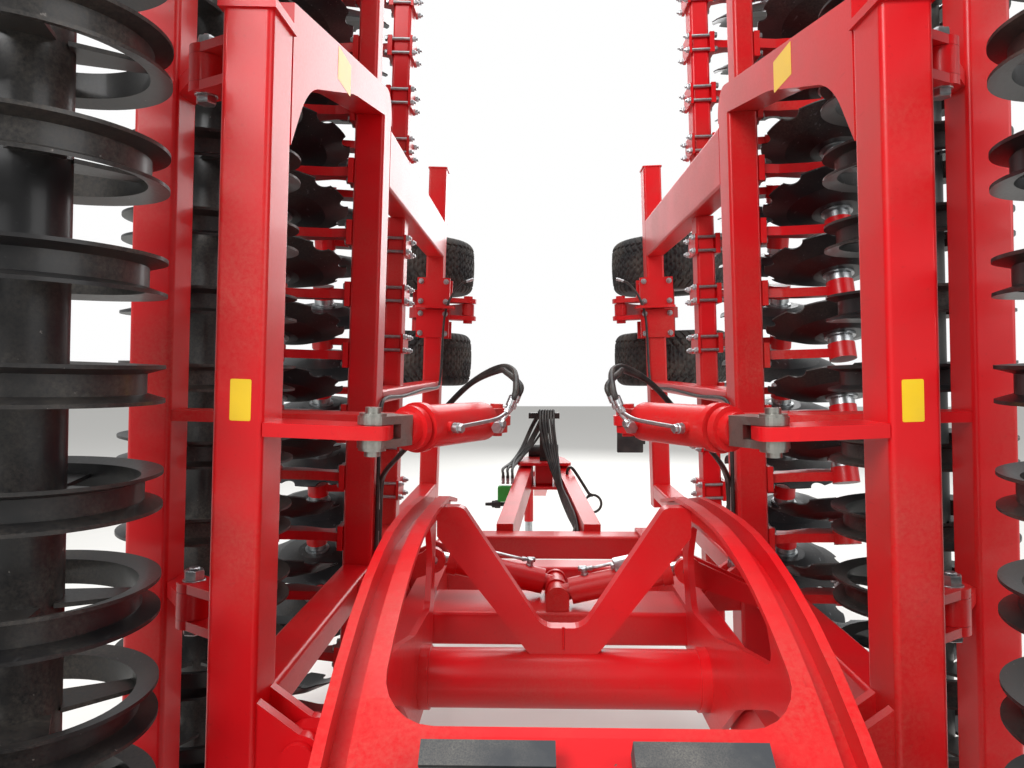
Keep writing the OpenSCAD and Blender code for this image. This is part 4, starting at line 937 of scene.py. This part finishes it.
# hoses from the front cross member along the inner side of the drawbar's right beam, over the rack's top bar
# and down to the coupling holder
def makeHoseBundle():
    v = hoseBundle
    x, y, z = v["holder"]
    wide, high, deep = v["holderSize"]
    hoses, ends, feet = [], [], []
    for n in range(v["count"]):
        off = (n - (v["count"] - 1) / 2) * v["pitch"]
        sway = 0.012 * math.sin(2.1 * n)
        slot = (x - 0.03 + 0.03 * (n % 3), y - 0.012 + 0.024 * (n // 3))
        foot = (0.135 + 0.03 * (n % 2), v["face"], 0.79 + 0.03 * (n // 2))
        route = [
            (foot[0], foot[1] + 0.045, foot[2]), (foot[0], foot[1] + 0.10, foot[2]),
            (0.160, 0.19, 0.882 + 0.8 * off), (0.134, 0.50, 0.922 + off), (0.109, 0.80, 0.958 + off),
            (0.088 + 0.2 * off, 0.97, 1.04 + off), (0.05 + 0.8 * off, 1.08, 1.18),
            (0.02 + off, 1.175, 1.37 + sway), (0.02 + off, 1.262, 1.4625), (0.015 + off, 1.30, 1.4635),
            (off, 1.41, 1.43), (off - 0.05, 1.47, 1.33 + sway), (0.7 * off - 0.13, 1.40, 1.19),
            (0.5 * off - 0.20, 1.18, 1.12 - sway), (slot[0], slot[1] + 0.07, z + 0.155),
            (slot[0], slot[1], z + 0.125), (slot[0], slot[1], z + 0.09)]
        hoses.append(tube(route, 7, v["radius"]))
        ends.append((slot[0], slot[1], z + high / 2))
        feet.append(foot)
    makePiece("hose_bundle", hoses, "hose", "chassis")
    crimps = [copies(hoseEnd(v["radius"]), ends, (0, 0, 1)), copies(hoseEnd(v["radius"]), feet, (0, 1, 0))]
    makePiece("hose_couplings", crimps, "zinc", "chassis")
    block = plate(roundedOutline(wide, high, 0.012), -deep / 2, deep / 2, 0.003)
    makePiece("coupling_holder", [placed(block, turnTo((0, -1, 0)), v["holder"])], "green_plastic", "chassis")
    plug = lathe([(0, 0), (0.014, 0), (0.014, 0.085), (0.027, 0.087), (0.027, 0.12), (0.023, 0.124),
                  (0.023, 0.14), (0.012, 0.146), (0.010, 0.185), (0, 0.186)], 20)
    makePiece("lamp_plug", [placed(plug, turnTo((-1, 0, 0)), v["plug"])], "black_plastic", "chassis")


handle = {
    "radius": 0.010,
    "points": [(0.150, 1.0, 1.045), (0.155, 1.0, 1.085), (0.18, 1.0, 1.10), (0.22, 1.0, 1.05),
               (0.27, 1.0, 0.97), (0.30, 1.0, 0.925), (0.325, 1.0, 0.913)],
    "coil": (0.325, 1.0, 0.855), "coilRadius": 0.058, "hose": 0.0085,
}


# a bent handle at the drawbar with a hose coiled on it: c + r (cos t, 0.17 (t - t0) / pi, sin t), 1.1 turns
def makeHandle():
    v = handle
    makePiece("bent_handle", [tube(v["points"], 6, v["radius"], 12)], "black_paint", "chassis")
    t = np.linspace(0.5 * np.pi, 2.7 * np.pi, 44)
    line = v["coilRadius"] * np.stack([np.cos(t), 0.17 * (t - t[0]) / np.pi, np.sin(t)], axis=1)
    makePiece("coiled_hose", [carried(line + v["coil"], ringOf(v["hose"], 10))], "hose", "chassis")


board = {
    "middle": (0.59, 1.120, 1.28), "size": (0.18, 0.18), "thick": 0.004,
    "arm": (0.59, 0.765, 1.335),                 # x of its ends and its height
    "bolt": 0.014, "bolts": (0.025, 0.055),      # heights of the bolts above the middle
}


# a small dark board that looks back, on a flat arm from the right wing's front tube
def makeBoard():
    v = board
    x, y, z = v["middle"]
    start, end, high = v["arm"]
    sheet = plate(roundedOutline(*v["size"], 0.008), 0.0, v["thick"], 0.001)
    arm = plate(roundedOutline(end - start, 0.035, 0.004), 0.0, 0.005, 0.001)
    back = turnTo((0, -1, 0))
    parts = [placed(sheet, back, (x, y, z)), placed(arm, back, ((start + end) / 2, y + 0.006, high))]
    makePiece("dark_board", parts, "black_plastic", "wing_right")
    spots = [(x + 0.045, y - v["thick"], z + rise) for rise in v["bolts"]]
    makePiece("board_bolts", [copies(boltHead(v["bolt"]), spots, (0, -1, 0))], "zinc", "wing_right")


braceWeld = {
    "y": -1.8335, "low": 0.935, "high": 1.005,         # rear face of the V brace, heights of the bead's ends
    "bead": 0.004, "ripple": 0.14,
}


# a weld bead as a row of overlapping ripples: its radius is bead * (1 + ripple |cos|) along its length
def makeBraceWeld():
    v = braceWeld
    count = int((v["high"] - v["low"]) / (v["bead"] * 0.5))
    line = np.column_stack([np.zeros(count), np.full(count, v["y"]), np.linspace(v["low"], v["high"], count)])
    scale = 1 + v["ripple"] * np.abs(np.cos(np.arange(count) * 1.3))
    scale[[0, -1]] = 0.35
    makePiece("brace_weld", [carried(line, ringOf(v["bead"], 8), scale)], "red_paint", "yoke")


for side in sides:
    makeFoldFittings(side)
makeHoseBundle()
makeHandle()
makeBoard()
makeBraceWeld()
print("centre fittings made")
